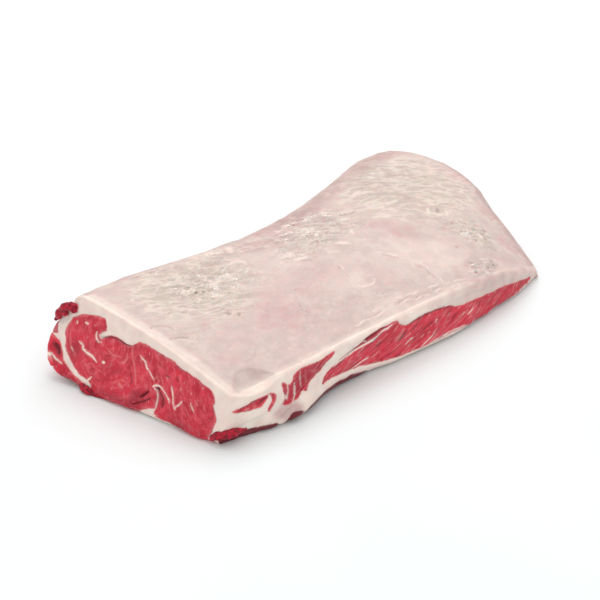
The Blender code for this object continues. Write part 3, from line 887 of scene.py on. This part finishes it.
def draw_top(skin):
    """The cap's top: smooth pink-white fat, with rough torn membrane and aged patches on it."""
    points, spot = skin.choose(skin.on["over"]), skin.spot
    flat = points[:, :2]
    moved = flat + (wander(points, 26, 71) * 7 + wander(points, 8, 73) * 2.5)
    # Among the pale ovals are painted glints.
    for what, places in TOP_SPOTS.items():
        for strength, *place in places:
            spot(what, strength * blob(moved, *place))
    rough = skin.rough[skin.chosen]
    patches = smooth(lumps(points, 15, 84) + 0.4 * lumps(points, 6, 85), -0.3, 0.35)
    ridges = 1 - 2.2 * np.abs(drawn_out(points, WRINKLES, 22, 7, 75) + 0.35 * lumps(points, 6, 76))
    torn = drawn_out(points, WRINKLES, 13, 5, 82) + 0.5 * lumps(points, 3.6, 83)
    clots = smooth(rough, 0.5, 0.9) * lumpy(points, 101, (1, 7), (0.7, 3.4))
    crest = np.maximum(smooth(torn, 0.22, 0.5), 0.5 * smooth(ridges, 0.2, 0.95))
    crest = rough * patches * np.maximum(crest, smooth(clots, 0.15, 0.5))
    furrow = rough * patches * np.maximum(0.6 * smooth(-torn, 0.28, 0.6), smooth(-clots, 0.25, 0.6))
    relief = lumpy(points, 77, (0.9, 38), (0.6, 13), (0.2, 4.5)) + 0.9 * crest - 0.8 * furrow
    # Crests are painted pale, partly whiter torn fat and partly painted glint; furrows are painted pink, with
    # painted shade in them.
    spot("pale", 0.9 * crest)
    spot("pink", 0.6 * furrow)
    spot("dark", 0.35 * furrow)
    uneven = 0.8 * lumps(points, 4, 81)
    for radius, depth, x, y in TOP_PITS:
        gap = np.linalg.norm(flat - (x, y), axis=1) + uneven
        relief -= depth * smooth(1 - gap / radius, 0, 0.8)
        relief += 0.35 * depth * np.exp(-((gap - 1.3 * radius) / (0.35 * radius)) ** 2)
        # Painted shade inside each pit.
        spot("dark", 0.5 * smooth(1 - gap / radius, 0, 0.9))
        spot("aged", 0.8 * smooth(1 - gap / (2.2 * radius), 0, 0.9))
    ragged = flat + (wander(points, 9, 86) * 2.4 + wander(points, 3.4, 88) * 0.6)
    broken = smooth(lumps(points, 8, 90), -0.4, 0.2)
    for what, lines in TOP_LINES.items():
        for width, height, *path in lines:
            gap, wide = nearest_path(path, width, ragged)
            near = smooth(1 - gap / wide) * broken
            relief += 0.7 * height * near
            spot(what, 0.55 * near)
    across = skin.across[skin.chosen]
    from_cut = points[:, 0] - between(RIB_CUT_TOP, across) - SHIFT[0]
    ledge = np.exp(-((from_cut + 1.5 * lumps(points, 20, 105) - 11) / 1.8) ** 2)
    relief += 0.5 * ledge
    from_front = across * width_at(skin.along[skin.chosen])
    # Painted highlight: a pale band on the top along the cut edge.
    spot("pale", 0.4 * smooth(1 - from_cut / 13, 0, 0.6))
    spot("pink", 0.6 * ledge * broken)
    # Painted highlight: a pale band along the front edge, near the cut end.
    spot("pale", 0.4 * smooth(1 - from_front / 9, 0, 0.7) * (1 - smooth(points[:, 0], 0, 110)))
    shade_far_rim(skin)
    skin.raise_by(relief * smooth(np.minimum(from_cut, from_front), 0, 5))


def trim_corner(skin):
    """A shallow scoop taken off the cap's front edge, near the cut."""
    x, y, z = skin.points.T
    run = np.array(SCOOP_HIGH) - SCOOP_LOW
    out = np.array([-run[1], run[0]]) / np.linalg.norm(run)
    over = (y - SCOOP_LOW[0]) * out[0] + (z - SCOOP_LOW[1]) * out[1]
    over -= SCOOP_RISE * ((x - SCOOP_MIDDLE) / SCOOP_REACH) ** 2
    sliced = np.clip(over, 0, SCOOP_MOST)
    skin.points[:, 1] -= sliced * out[0]
    skin.points[:, 2] -= sliced * out[1]
    skin.choose(slice(None))
    # Painted shade: a faint dark line along the scoop's edge on the top.
    skin.spot("dark", 0.12 * smooth(1 - np.abs(over) / 1.2) * skin.on["over"])


# ------------------------------------------------------------------ materials

def add_node(tree, kind, inputs=None, **settings):
    """Adds a node. Each input is given a value, or joined to the socket that is given."""
    node = tree.nodes.new(kind)
    for key, value in settings.items():
        setattr(node, key, value)
    for socket, value in (inputs or {}).items():
        if isinstance(value, bpy.types.NodeSocket):
            tree.links.new(value, node.inputs[socket])
        else:
            node.inputs[socket].default_value = value
    return node


class MaterialNodes:
    """Short ways to add and join the nodes of one material."""

    def __init__(self, name):
        self.material = bpy.data.materials.new(name)
        self.material.use_nodes = True
        self.tree = self.material.node_tree
        self.place = self.add("TexCoord").outputs["Object"]

    def add(self, kind, inputs=None, **settings):
        return add_node(self.tree, "ShaderNode" + kind, inputs, **settings)

    def noise(self, size, detail, place=None):
        """Soft noise around 0.5, with lumps as wide as size in metres."""
        inputs = {"Vector": place or self.place, "Scale": 1 / size, "Detail": detail, "Roughness": 0.5}
        return self.add("TexNoise", inputs).outputs["Fac"]

    def drawn_out(self, way, length, width, detail):
        """Noise with lumps that are long one way and narrow across it."""
        turn = (0, -math.atan2(way[2], way[0]), math.atan2(way[1], way[0]))
        inputs = {"Vector": self.place, "Rotation": turn, "Scale": (length, width, width)}
        return self.noise(1.0, detail, self.add("Mapping", inputs, vector_type="TEXTURE").outputs["Vector"])

    def mark(self, name):
        return self.add("Attribute", attribute_name=name).outputs["Fac"]

    def remap(self, value, low, high, to_low=0.0, to_high=1.0):
        """Eases from to_low at low up to to_high at high."""
        inputs = {"Value": value, "From Min": low, "From Max": high, "To Min": to_low, "To Max": to_high}
        return self.add("MapRange", inputs, interpolation_type="SMOOTHSTEP").outputs["Result"]

    def patches(self, size, detail, *limits):
        """Noise that is remapped between limits."""
        return self.remap(self.noise(size, detail), *limits)

    def math(self, operation, first, second=0.0):
        return self.add("Math", {0: first, 1: second}, operation=operation).outputs[0]

    def times(self, first, second):
        return self.math("MULTIPLY", first, second)

    def from_middle(self, value):
        """How far noise is from its middle."""
        return self.math("ABSOLUTE", self.math("SUBTRACT", value, 0.5))

    def mix(self, share, low, high):
        """Colour from low to high. A colour is given as three numbers or a socket."""
        sockets = {0: share}
        for place, color in ((6, low), (7, high)):
            sockets[place] = color if isinstance(color, bpy.types.NodeSocket) else (*color, 1)
        return self.add("Mix", sockets, data_type="RGBA").outputs[2]

    def blend(self, share, low, high):
        """Number from low to high."""
        return self.add("Mix", {0: share, 2: low, 3: high}, data_type="FLOAT").outputs[0]

    def finish(self, color, roughness, height, bump_mm, **fixed):
        """Joins the shader. The height is in millimetres, and fixed values go on its own sockets."""
        shader = self.tree.nodes["Principled BSDF"]
        bump = self.add("Bump", {"Height": height, "Distance": MM * bump_mm, "Strength": 1.0})
        self.tree.links.new(color, shader.inputs["Base Color"])
        self.tree.links.new(roughness, shader.inputs["Roughness"])
        self.tree.links.new(bump.outputs["Normal"], shader.inputs["Normal"])
        for socket, value in fixed.items():
            shader.inputs[socket.replace("_", " ")].default_value = value
        return self.material


def flesh_material(name, depth_mm):
    """Lean and fat in one, told apart by the distance in millimetres in the mark called fat."""
    nodes = MaterialNodes(name)
    mark, mix, remap = nodes.mark, nodes.mix, nodes.remap
    math_on, times, patches = nodes.math, nodes.times, nodes.patches
    colours = bpy.context.scene.striploin_colours

    ragged = times(math_on("SUBTRACT", nodes.noise(0.0014, 3), 0.5), 2.2)
    is_fat = remap(math_on("ADD", mark("fat"), ragged), -0.25, 0.45)

    fibres = nodes.drawn_out(GRAIN, 0.022, 0.0013, 2)
    bundles = nodes.drawn_out(GRAIN, 0.05, 0.0055, 2)
    seams = nodes.from_middle(nodes.noise(0.013, 2))
    film = times(mark("pale"), patches(0.0016, 2, 0.3, 0.6, 0.55, 1))
    lean = mix(patches(0.016, 3, 0.35, 0.65), colours.lean_deep, colours.lean)
    lean = mix(remap(bundles, 0.42, 0.68, 0, 0.75), lean, colours.lean_light)
    lean = mix(remap(fibres, 0.38, 0.62, 0.34, 0), lean, colours.lean_deep)
    lean = mix(remap(seams, 0.0, 0.02, 0.35, 0), lean, colours.lean_light)
    # Tiny pale specks on the lean: partly fine marbling and partly painted wet glints.
    lean = mix(patches(0.0021, 3, 0.64, 0.78, 0, 0.55), lean, colours.marbling)
    lean = mix(times(film, 0.85), lean, colours.marbling)
    # The dark mark is partly darker meat and partly painted shade in folds, on the cut, at the foot and on
    # the far rim.
    lean = mix(times(mark("dark"), 0.9), lean, colours.shade)

    blush = math_on("ADD", times(mark("pink"), 0.85), patches(0.04, 3, 0.42, 0.66, 0, 0.28))
    aging = times(mark("aged"), patches(0.006, 4, 0.3, 0.62, 0.35, 1))
    aging = times(aging, remap(mark("pink"), 0.2, 1.0, 1, 0.3))
    wrinkled = remap(math_on("MAXIMUM", mark("rough"), mark("aged")), 0.15, 0.8)
    creased = nodes.drawn_out(WRINKLES, 0.026, 0.0085, 5)
    # Painted highlight on the wrinkles' crest lines, and painted shade in their hollows.
    crease_highlights = times(remap(nodes.from_middle(creased), 0.0, 0.09, 1, 0), wrinkled)
    hollow_shade = times(remap(creased, 0.56, 0.72), wrinkled)
    fat_shade = mix(mark("aged"), colours.pink_shade, colours.grey_shade)
    fat = mix(times(blush, patches(0.007, 3, 0.3, 0.6, 0.5, 1)), colours.fat, colours.fat_pink)
    fat = mix(times(aging, 0.85), fat, colours.fat_aged)
    fat = mix(patches(0.013, 4, 0.42, 0.62, 0, 0.6), fat, colours.fat_film)
    fat = mix(patches(0.0035, 4, 0.55, 0.72, 0, 0.12), fat, colours.fat_bright)
    fat = mix(times(crease_highlights, 0.3), fat, colours.fat_bright)
    fat = mix(times(hollow_shade, 0.14), fat, colours.grey_shade)
    # The pale mark is partly paler fat and partly painted light on the walls, edges and crests; the dark mark
    # is partly darker fat and partly painted shade in furrows, pits and on the far rim.
    fat = mix(times(mark("pale"), 0.85), fat, colours.fat_bright)
    fat = mix(times(mark("dark"), 0.85), fat, fat_shade)

    lean_height = math_on("ADD", times(fibres, 0.35), nodes.noise(0.0011, 2))
    torn_height = times(mark("rough"), patches(0.0018, 3, 0.35, 0.65, 0, 2.2))
    fat_height = math_on("ADD", nodes.noise(0.0024, 4), torn_height)
    fat_height = math_on("ADD", fat_height, math_on("SUBTRACT", crease_highlights, hollow_shade))
    lean_gloss, fat_gloss = patches(0.004, 2, 0.3, 0.7, 0.3, 0.46), patches(0.005, 2, 0.3, 0.7, 0.38, 0.58)
    return nodes.finish(
        mix(is_fat, lean, fat), nodes.blend(is_fat, lean_gloss, fat_gloss),
        nodes.blend(is_fat, lean_height, fat_height), 0.35, Subsurface_Weight=0.45,
        Subsurface_Radius=(1.0, 0.42, 0.34), Subsurface_Scale=depth_mm * MM,
        Coat_Weight=0.06, Coat_Roughness=0.25, Specular_IOR_Level=0.3)


def fleck_material(name, color, tint, glow=0.5, coat=0.3):
    """Small bits of fat, fibre or meat; glow is how much light goes into them, coat how wet they are."""
    nodes = MaterialNodes(name)
    mixed, gloss = nodes.patches(0.003, 3, 0.35, 0.65), nodes.patches(0.002, 2, 0.3, 0.7, 0.3, 0.5)
    return nodes.finish(
        nodes.mix(mixed, color, tint), gloss, nodes.noise(0.0009, 3), 0.2, Subsurface_Weight=glow,
        Subsurface_Radius=(1.0, 0.5, 0.4), Subsurface_Scale=1.5 * MM, Coat_Weight=coat,
        Coat_Roughness=0.2, Specular_IOR_Level=coat)


def floor_material():
    nodes = MaterialNodes("white_ground")
    color = bpy.context.scene.striploin_colours.ground
    darker = [0.97 * part for part in color]
    mixed, gloss = nodes.patches(0.3, 2, 0.3, 0.7), nodes.patches(0.01, 2, 0.3, 0.7, 0.75, 0.85)
    return nodes.finish(nodes.mix(mixed, color, darker), gloss, nodes.noise(0.002, 2), 0.02,
                        Specular_IOR_Level=0.2)


# ------------------------------------------------------------------ scattered bits

LUMP_NOISE = 0.0014
SCATTER_INPUTS = (
    ("Surface", "Geometry"), ("Mark", "String"), ("Density", "Float"), ("Seed", "Int"),
    ("Smallest", "Vector"), ("Largest", "Vector"), ("Direction", "Vector"), ("Wander", "Float"),
    ("Sink", "Float"), ("Unevenness", "Float"), ("Material", "Material"),
)


def scatter_tree(name):
    """Node group that scatters small lumps over a surface, thickest where one of its marks is high."""
    tree = bpy.data.node_groups.new(name, "GeometryNodeTree")
    for socket, kind in SCATTER_INPUTS:
        tree.interface.new_socket(socket, in_out="INPUT", socket_type="NodeSocket" + kind)
    tree.interface.new_socket("Lumps", in_out="OUTPUT", socket_type="NodeSocketGeometry")
    given = tree.nodes.new("NodeGroupInput").outputs

    def made(kind, inputs, output=0, **settings):
        return add_node(tree, kind, inputs, **settings).outputs[output]

    mark = made("GeometryNodeInputNamedAttribute", {"Name": given["Mark"]}, data_type="FLOAT")
    density = made("ShaderNodeMath", {0: mark, 1: given["Density"]}, operation="MULTIPLY")
    spread = add_node(tree, "GeometryNodeDistributePointsOnFaces",
                      {"Mesh": given["Surface"], "Density": density, "Seed": given["Seed"]}).outputs
    stand = made("FunctionNodeAlignRotationToVector", {"Vector": spread["Normal"]}, axis="Z")
    lie = made("FunctionNodeAlignRotationToVector", {"Rotation": stand, "Vector": given["Direction"]},
               axis="X", pivot_axis="Z")
    back = made("ShaderNodeMath", {0: given["Wander"], 1: -1.0}, operation="MULTIPLY")
    angle = made("FunctionNodeRandomValue", {2: back, 3: given["Wander"]}, 1, data_type="FLOAT")
    turn = made("FunctionNodeAxisAngleToRotation", {"Axis": (0, 0, 1), "Angle": angle})
    turned = made("FunctionNodeRotateRotation", {"Rotation": lie, "Rotate By": turn}, rotation_space="LOCAL")
    size = made("FunctionNodeRandomValue", {0: given["Smallest"], 1: given["Largest"]},
                data_type="FLOAT_VECTOR")
    sunk = made("ShaderNodeVectorMath", {0: spread["Normal"], "Scale": given["Sink"]}, operation="SCALE")
    placed = made("GeometryNodeSetPosition", {"Geometry": spread["Points"], "Offset": sunk})
    lump = made("GeometryNodeMeshIcoSphere", {"Radius": 0.5, "Subdivisions": 2})
    copies = made("GeometryNodeInstanceOnPoints",
                  {"Points": placed, "Instance": lump, "Rotation": turned, "Scale": size})
    real = made("GeometryNodeRealizeInstances", {"Geometry": copies})
    rough = made("ShaderNodeTexNoise", {"Scale": 1 / LUMP_NOISE, "Detail": 1.0}, "Color")
    centred = made("ShaderNodeVectorMath", {0: rough, 1: (0.5, 0.5, 0.5)}, operation="SUBTRACT")
    push = made("ShaderNodeVectorMath", {0: centred, "Scale": given["Unevenness"]}, operation="SCALE")
    uneven = made("GeometryNodeSetPosition", {"Geometry": real, "Offset": push})
    soft = made("GeometryNodeSetShadeSmooth", {"Geometry": uneven})
    finished = made("GeometryNodeSetMaterial", {"Geometry": soft, "Material": given["Material"]})
    tree.links.new(finished, tree.nodes.new("NodeGroupOutput").inputs["Lumps"])
    return tree


def scatter_bits(name, slot, surface, color, tint, material, **values):
    """Scatters lumps on a piece's surface, as a plain mesh piece with its own material."""
    tree = bpy.data.node_groups.get("scattered_lumps") or scatter_tree("scattered_lumps")
    host = new_object(name + "_host", bpy.data.objects[surface].data)
    scatter = host.modifiers.new("scatter", "NODES")
    scatter.node_group = tree
    values["material"] = fleck_material(material, color, tint)
    for socket in tree.interface.items_tree:
        key = socket.name.lower()
        if socket.in_out == "INPUT" and key in values:
            scatter[socket.identifier] = values[key]
    mesh = finished_mesh(host, name)
    if not mesh.polygons:
        raise RuntimeError(f"{name}: nothing was scattered")
    place_piece(new_object(name, mesh), slot)


# ------------------------------------------------------------------ what a user may change

def color_property(name, description, *default):
    return FloatVectorProperty(name=name, description=description, default=default, subtype="COLOR",
                               size=3, min=0, max=1)


def length_property(name, description, default):
    return FloatProperty(name=name, description=description, default=default, min=0, subtype="DISTANCE",
                         unit="LENGTH")


def number_property(name, description, default):
    return FloatProperty(name=name, description=description, default=default, min=0)


class StriploinColours(bpy.types.PropertyGroup):
    lean: color_property("Lean", "Fresh muscle", 0.70, 0.0235, 0.055)
    lean_deep: color_property("Deep lean", "Muscle in its darker bundles", 0.50, 0.0105, 0.033)
    lean_torn: color_property("Torn lean", "Wet ragged tags of muscle", 0.17, 0.0045, 0.015)
    lean_light: color_property("Light lean", "Muscle in its paler bundles", 0.74, 0.075, 0.115)
    marbling: color_property("Marbling", "Fat and sinew inside the muscle", 0.80, 0.36, 0.34)
    fat: color_property("Fat", "The cap's usual colour", 0.585, 0.466, 0.426)
    fat_pink: color_property("Pink fat", "Fat stained by the meat under it", 0.54, 0.315, 0.31)
    fat_film: color_property("Filmed fat", "Fat under its thin grey-pink skin", 0.50, 0.385, 0.36)
    fat_aged: color_property("Aged fat", "Greyer and yellower fat", 0.50, 0.425, 0.355)
    # Bright fat is also painted light: it lightens the cut and front walls, the edge bands, crests and
    # glints.
    fat_bright: color_property("Bright fat", "Clean fat at cut edges and ridges", 0.92, 0.785, 0.70)
    shade: color_property("Shade", "The depth of folds in the muscle", 0.075, 0.004, 0.010)
    pink_shade: color_property("Pink shade", "The depth of furrows in pink fat", 0.34, 0.17, 0.19)
    grey_shade: color_property("Grey shade", "The depth of furrows in aged fat", 0.27, 0.22, 0.17)
    ground: color_property("Ground", "The pale ground under the loin", 0.762, 0.79, 0.787)


class StriploinSizes(bpy.types.PropertyGroup):
    fleck_length: length_property("Fleck length", "Longest marbling fleck on the cuts", 0.0036)
    fleck_density: number_property("Fleck density", "Flecks per square metre of muscle", 14000)
    crumb_size: length_property("Crumb size", "Widest crumb of torn fat on the cap", 0.0044)
    crumb_density: number_property("Crumb density", "Crumbs per square metre of rough fat", 80000)
    strand_length: length_property("Strand length", "Longest bundle of fibres on the long side", 0.017)
    strand_density: number_property("Strand density", "Strands per square metre of muscle", 30000)
    seed: IntProperty(name="Seed", description="Changes where the small bits fall", default=7, min=0)
    lean_depth: number_property("Lean depth", "How deep light goes into muscle, in mm", 2.0)
    fat_depth: number_property("Fat depth", "How deep light goes into fat, in mm", 3.5)


# ------------------------------------------------------------------ the pieces

class MESH_OT_striploin_lean(bpy.types.Operator):
    """Makes the lean muscle, with its cut face, its long bare side and its seams"""
    bl_idname = "mesh.striploin_lean"
    bl_label = "Lean muscle"

    def execute(self, context):
        skin = Skin(LEAN_ROWS, LEAN_FOOT_ROWS, 0, LEAN_FACES)
        for step in (lift_strap, draw_under, draw_rump, draw_back, draw_front, draw_cut, trim_corner):
            step(skin)
        material = flesh_material("lean_meat", context.scene.striploin_sizes.lean_depth)
        lean = skin.make_object("lean_muscle", material)
        off_ground = skin.points[:, 2] > BITS_LOWEST
        ends = (skin.on["cut"] | skin.on["rump"]) & (skin.dark < 0.3)
        sides = skin.on["front"] | (skin.on["back"] & (skin.points[:, 0] > BACK_STRAP_END))
        add_mark(lean.data, "flecks", ends & (skin.fat < -0.8) & off_ground)
        add_mark(lean.data, "strands", sides & (skin.fat < -1.5) & off_ground & ~skin.rim & (skin.dark < 0.9))
        place_piece(lean, "lean_meat", "lean")
        return {"FINISHED"}


class MESH_OT_striploin_cap(bpy.types.Operator):
    """Makes the fat cap, smooth in places and torn and aged in others"""
    bl_idname = "mesh.striploin_cap"
    bl_label = "Fat cap"

    def execute(self, context):
        skin = Skin(CAP_ROWS, 0, CAP_CROWN_ROWS, CAP_FACES)
        for step in (draw_top, draw_rump, draw_back, draw_front, draw_cut, trim_corner):
            step(skin)
        material = flesh_material("cap_fat", context.scene.striploin_sizes.fat_depth)
        cap = skin.make_object("fat_cap_skin", material)
        torn = smooth(skin.rough, 0.45, 0.95) * smooth(skin.pale, 0.1, 0.5)
        add_mark(cap.data, "crumbs", torn * skin.on["over"])
        place_piece(cap, "cap_fat", "fat_cap")
        return {"FINISHED"}


class MESH_OT_striploin_flecks(bpy.types.Operator):
    """Scatters marbling flecks on the cut ends of the muscle"""
    bl_idname = "mesh.striploin_flecks"
    bl_label = "Marbling flecks"

    def execute(self, context):
        sizes, colours = context.scene.striploin_sizes, context.scene.striploin_colours
        length = sizes.fleck_length
        scatter_bits(
            "marbling_flecks", "cap_fat", "lean_muscle", colours.marbling, colours.lean_light, "marbling_fat",
            mark="flecks", density=sizes.fleck_density, seed=sizes.seed,
            smallest=(0.2 * length, 0.10 * length, 0.08 * length),
            largest=(length, 0.24 * length, 0.16 * length),
            direction=(0, -0.37, -0.93), wander=0.6, sink=-0.00012, unevenness=0.0007)
        return {"FINISHED"}


class MESH_OT_striploin_crumbs(bpy.types.Operator):
    """Scatters crumbs and shreds of torn fat on the rough parts of the cap"""
    bl_idname = "mesh.striploin_crumbs"
    bl_label = "Fat crumbs"

    def execute(self, context):
        sizes, colours = context.scene.striploin_sizes, context.scene.striploin_colours
        size = sizes.crumb_size
        scatter_bits(
            "fat_crumbs", "cap_fat", "fat_cap_skin", colours.fat_bright, colours.fat, "torn_fat",
            mark="crumbs", density=sizes.crumb_density, seed=sizes.seed + 1,
            smallest=(0.3 * size, 0.2 * size, 0.12 * size), largest=(size, 0.6 * size, 0.34 * size),
            direction=(0.95, -0.3, 0), wander=0.9, sink=-0.0002, unevenness=0.0012)
        return {"FINISHED"}


class MESH_OT_striploin_strands(bpy.types.Operator):
    """Lays bundles of fibres and pale streaks along the grain of the long bare muscle"""
    bl_idname = "mesh.striploin_strands"
    bl_label = "Muscle strands"

    def execute(self, context):
        sizes, colours = context.scene.striploin_sizes, context.scene.striploin_colours
        length, density = sizes.strand_length, sizes.strand_density
        scatter_bits(
            "muscle_strands", "lean_meat", "lean_muscle", colours.lean, colours.lean_light, "muscle_fibre",
            mark="strands", density=density, seed=sizes.seed + 2, smallest=(0.35 * length, 0.0008, 0.0006),
            largest=(length, 0.0017, 0.0013), direction=GRAIN, wander=0.10, sink=-0.0002, unevenness=0.0010)
        scatter_bits(
            "pale_streaks", "cap_fat", "lean_muscle", colours.marbling, colours.fat_pink, "streak_fat",
            mark="strands", density=density * 0.22, seed=sizes.seed + 3,
            smallest=(0.15 * length, 0.0004, 0.0003), largest=(0.6 * length, 0.0009, 0.0006),
            direction=GRAIN, wander=0.16, sink=0.0001, unevenness=0.0008)
        return {"FINISHED"}


# Ragged tags of meat: for each, the middle and radius of its balls.
TAGS = {
    "meat_tag_top": (
        (-227, 93, 50, 2.6), (-228, 91, 52.5, 3), (-228, 89.5, 55, 3.3), (-227.5, 87.5, 57.5, 3.6),
        (-227, 85.5, 60, 3.8), (-226.5, 83.5, 62.5, 4), (-225, 80.5, 65, 4.1), (-224, 77.5, 66, 4),
        (-223, 75, 65.5, 3.6), (-223.5, 73.5, 63, 3), (-226, 84, 57, 3.2), (-229, 94.5, 48, 2),
    ),
    "meat_tag_corner": (
        (-212, -87, 5.5, 3.2), (-211.5, -90, 8, 3.8), (-210, -93, 9.5, 4.2), (-207.5, -95.5, 10, 4.4),
        (-204, -97, 10, 4.3), (-200, -98, 9.5, 4.1), (-197, -98.5, 9, 3.7), (-194, -98, 8.5, 3.3),
        (-191, -98.5, 8, 2.8), (-188, -99, 8, 2.3),
    ),
    "meat_tag_foot": (
        (-238, 51, 3, 2.6), (-239, 48, 3.5, 3.2), (-239, 45, 3, 3.6), (-239, 42, 2.5, 3.4),
        (-238, 39, 2, 3.1), (-237, 36, 1.5, 2.8), (-236, 33, 1.5, 2.6), (-235, 30, 1.5, 2.6),
        (-234.5, 27, 1.5, 2.4), (-234, 24, 1.5, 2),
    ),
}
TAG_VOXEL = 0.0009
TAG_SMOOTHING = 8
TAG_LOWEST = 0.2            # above the ground


def tag_mesh(name, balls):
    """Balls run together into one smooth lump."""
    bm = bmesh.new()
    for *middle, radius in balls:
        placed = Matrix.Translation(Vector(middle) * MM) @ Matrix.Scale(radius * MM, 4)
        bmesh.ops.create_icosphere(bm, subdivisions=3, radius=1, matrix=placed)
    rough = bpy.data.meshes.new(name)
    bm.to_mesh(rough)
    bm.free()
    host = new_object(name + "_host", rough)
    join = host.modifiers.new("join", "REMESH")
    join.mode = "VOXEL"
    join.voxel_size = TAG_VOXEL
    relax = host.modifiers.new("relax", "SMOOTH")
    relax.factor = 0.5
    relax.iterations = TAG_SMOOTHING
    return finished_mesh(host, name)


class MESH_OT_striploin_tags(bpy.types.Operator):
    """Adds the ragged tags of meat at the corners and along the foot of the cut"""
    bl_idname = "mesh.striploin_tags"
    bl_label = "Meat tags"

    def execute(self, context):
        colours = context.scene.striploin_colours
        material = fleck_material("ragged_meat", colours.lean_torn, colours.lean_deep, glow=0.1, coat=0.15)
        for seed, (name, balls) in enumerate(TAGS.items()):
            mesh = tag_mesh(name, balls)
            points = read_vertices(mesh, "co").astype(float) / MM
            relief = 1.1 * lumps(points, 6, 91 + seed) + 0.35 * lumps(points, 2.4, 95 + seed)
            points += read_vertices(mesh, "normal") * relief[:, None]
            move_vertices(mesh, points, CAD_LOW.z / MM + TAG_LOWEST)
            mesh.shade_smooth()
            mesh.materials.clear()
            mesh.materials.append(material)
            place_piece(new_object(name, mesh), "lean_meat")
        return {"FINISHED"}


# ------------------------------------------------------------------ the stage

CAMERA_AIM = (-0.0316, -0.0062, 0.0273)
CAMERA_AWAY = 1.3635
CAMERA_TURN = 45            # degrees round from looking along +Y towards +X
CAMERA_RISE = 30            # degrees above the ground
CAMERA_LENS = 90
CAMERA_SENSOR = 36
GROUND_SIZE = 6.0
LIGHT_PLACE = (0.35, 0.5, 1.55)
LIGHT_SIZE = 1.3
LIGHT_POWER = 16
ROOM_STRENGTH = 0.95


class SCENE_OT_striploin_stage(bpy.types.Operator):
    """Sets the pale ground, the soft studio light and the camera"""
    bl_idname = "scene.striploin_stage"
    bl_label = "Stage"

    def execute(self, context):
        scene = context.scene
        bm = bmesh.new()
        bmesh.ops.create_grid(bm, x_segments=8, y_segments=8, size=GROUND_SIZE / 2)
        mesh = bpy.data.meshes.new("white_ground")
        bm.to_mesh(mesh)
        bm.free()
        mesh.materials.append(floor_material())
        ground = new_object("white_ground", mesh)

        light = bpy.data.lights.new("soft_box_above", "AREA")
        light.shape = "RECTANGLE"
        light.size = light.size_y = LIGHT_SIZE
        light.energy = LIGHT_POWER
        lamp = new_object("soft_box_above", light)
        lamp.location = LIGHT_PLACE
        lamp.rotation_euler = (-Vector(LIGHT_PLACE)).to_track_quat("-Z", "Y").to_euler()
        world = bpy.data.worlds.new("white_room")
        world.use_nodes = True
        background = world.node_tree.nodes["Background"].inputs
        background["Color"].default_value = (1, 1, 1, 1)
        background["Strength"].default_value = ROOM_STRENGTH
        scene.world = world
        scene.view_settings.view_transform = "Standard"

        turn, rise = math.radians(CAMERA_TURN), math.radians(CAMERA_RISE)
        ahead = Vector((math.sin(turn) * math.cos(rise), math.cos(turn) * math.cos(rise), -math.sin(rise)))
        lens = bpy.data.cameras.new("camera")
        lens.lens = CAMERA_LENS
        lens.sensor_width = CAMERA_SENSOR
        camera = new_object("camera", lens)
        camera.location = Vector(CAMERA_AIM) - ahead * CAMERA_AWAY
        camera.rotation_euler = ahead.to_track_quat("-Z", "Y").to_euler()
        scene.camera = camera
        return {"FINISHED"}


# ------------------------------------------------------------------ the panel and the run

PIECE_OPERATORS = (
    MESH_OT_striploin_lean,
    MESH_OT_striploin_cap,
    MESH_OT_striploin_flecks,
    MESH_OT_striploin_crumbs,
    MESH_OT_striploin_strands,
    MESH_OT_striploin_tags,
    SCENE_OT_striploin_stage,
)


class VIEW3D_PT_striploin(bpy.types.Panel):
    """Lists the loin's sizes, its colours and the operators that make its pieces"""
    bl_label = "Beef striploin"
    bl_idname = "VIEW3D_PT_striploin"
    bl_space_type = "VIEW_3D"
    bl_region_type = "UI"
    bl_category = "Striploin"

    def draw(self, context):
        layout = self.layout
        for group in (context.scene.striploin_sizes, context.scene.striploin_colours):
            column = layout.column()
            for name in type(group).__annotations__:
                column.prop(group, name)
        for operator in PIECE_OPERATORS:
            layout.operator(operator.bl_idname)


CLASSES = (StriploinColours, StriploinSizes, *PIECE_OPERATORS, VIEW3D_PT_striploin)


def register():
    for cls in CLASSES:
        bpy.utils.register_class(cls)
    bpy.types.Scene.striploin_colours = PointerProperty(type=StriploinColours)
    bpy.types.Scene.striploin_sizes = PointerProperty(type=StriploinSizes)


def unregister():
    del bpy.types.Scene.striploin_sizes
    del bpy.types.Scene.striploin_colours
    for cls in reversed(CLASSES):
        bpy.utils.unregister_class(cls)


def main():
    register()
    bpy.ops.mesh.striploin_lean()
    bpy.ops.mesh.striploin_cap()
    bpy.ops.mesh.striploin_flecks()
    bpy.ops.mesh.striploin_crumbs()
    bpy.ops.mesh.striploin_strands()
    bpy.ops.mesh.striploin_tags()
    bpy.ops.scene.striploin_stage()


if __name__ == "__main__":
    main()
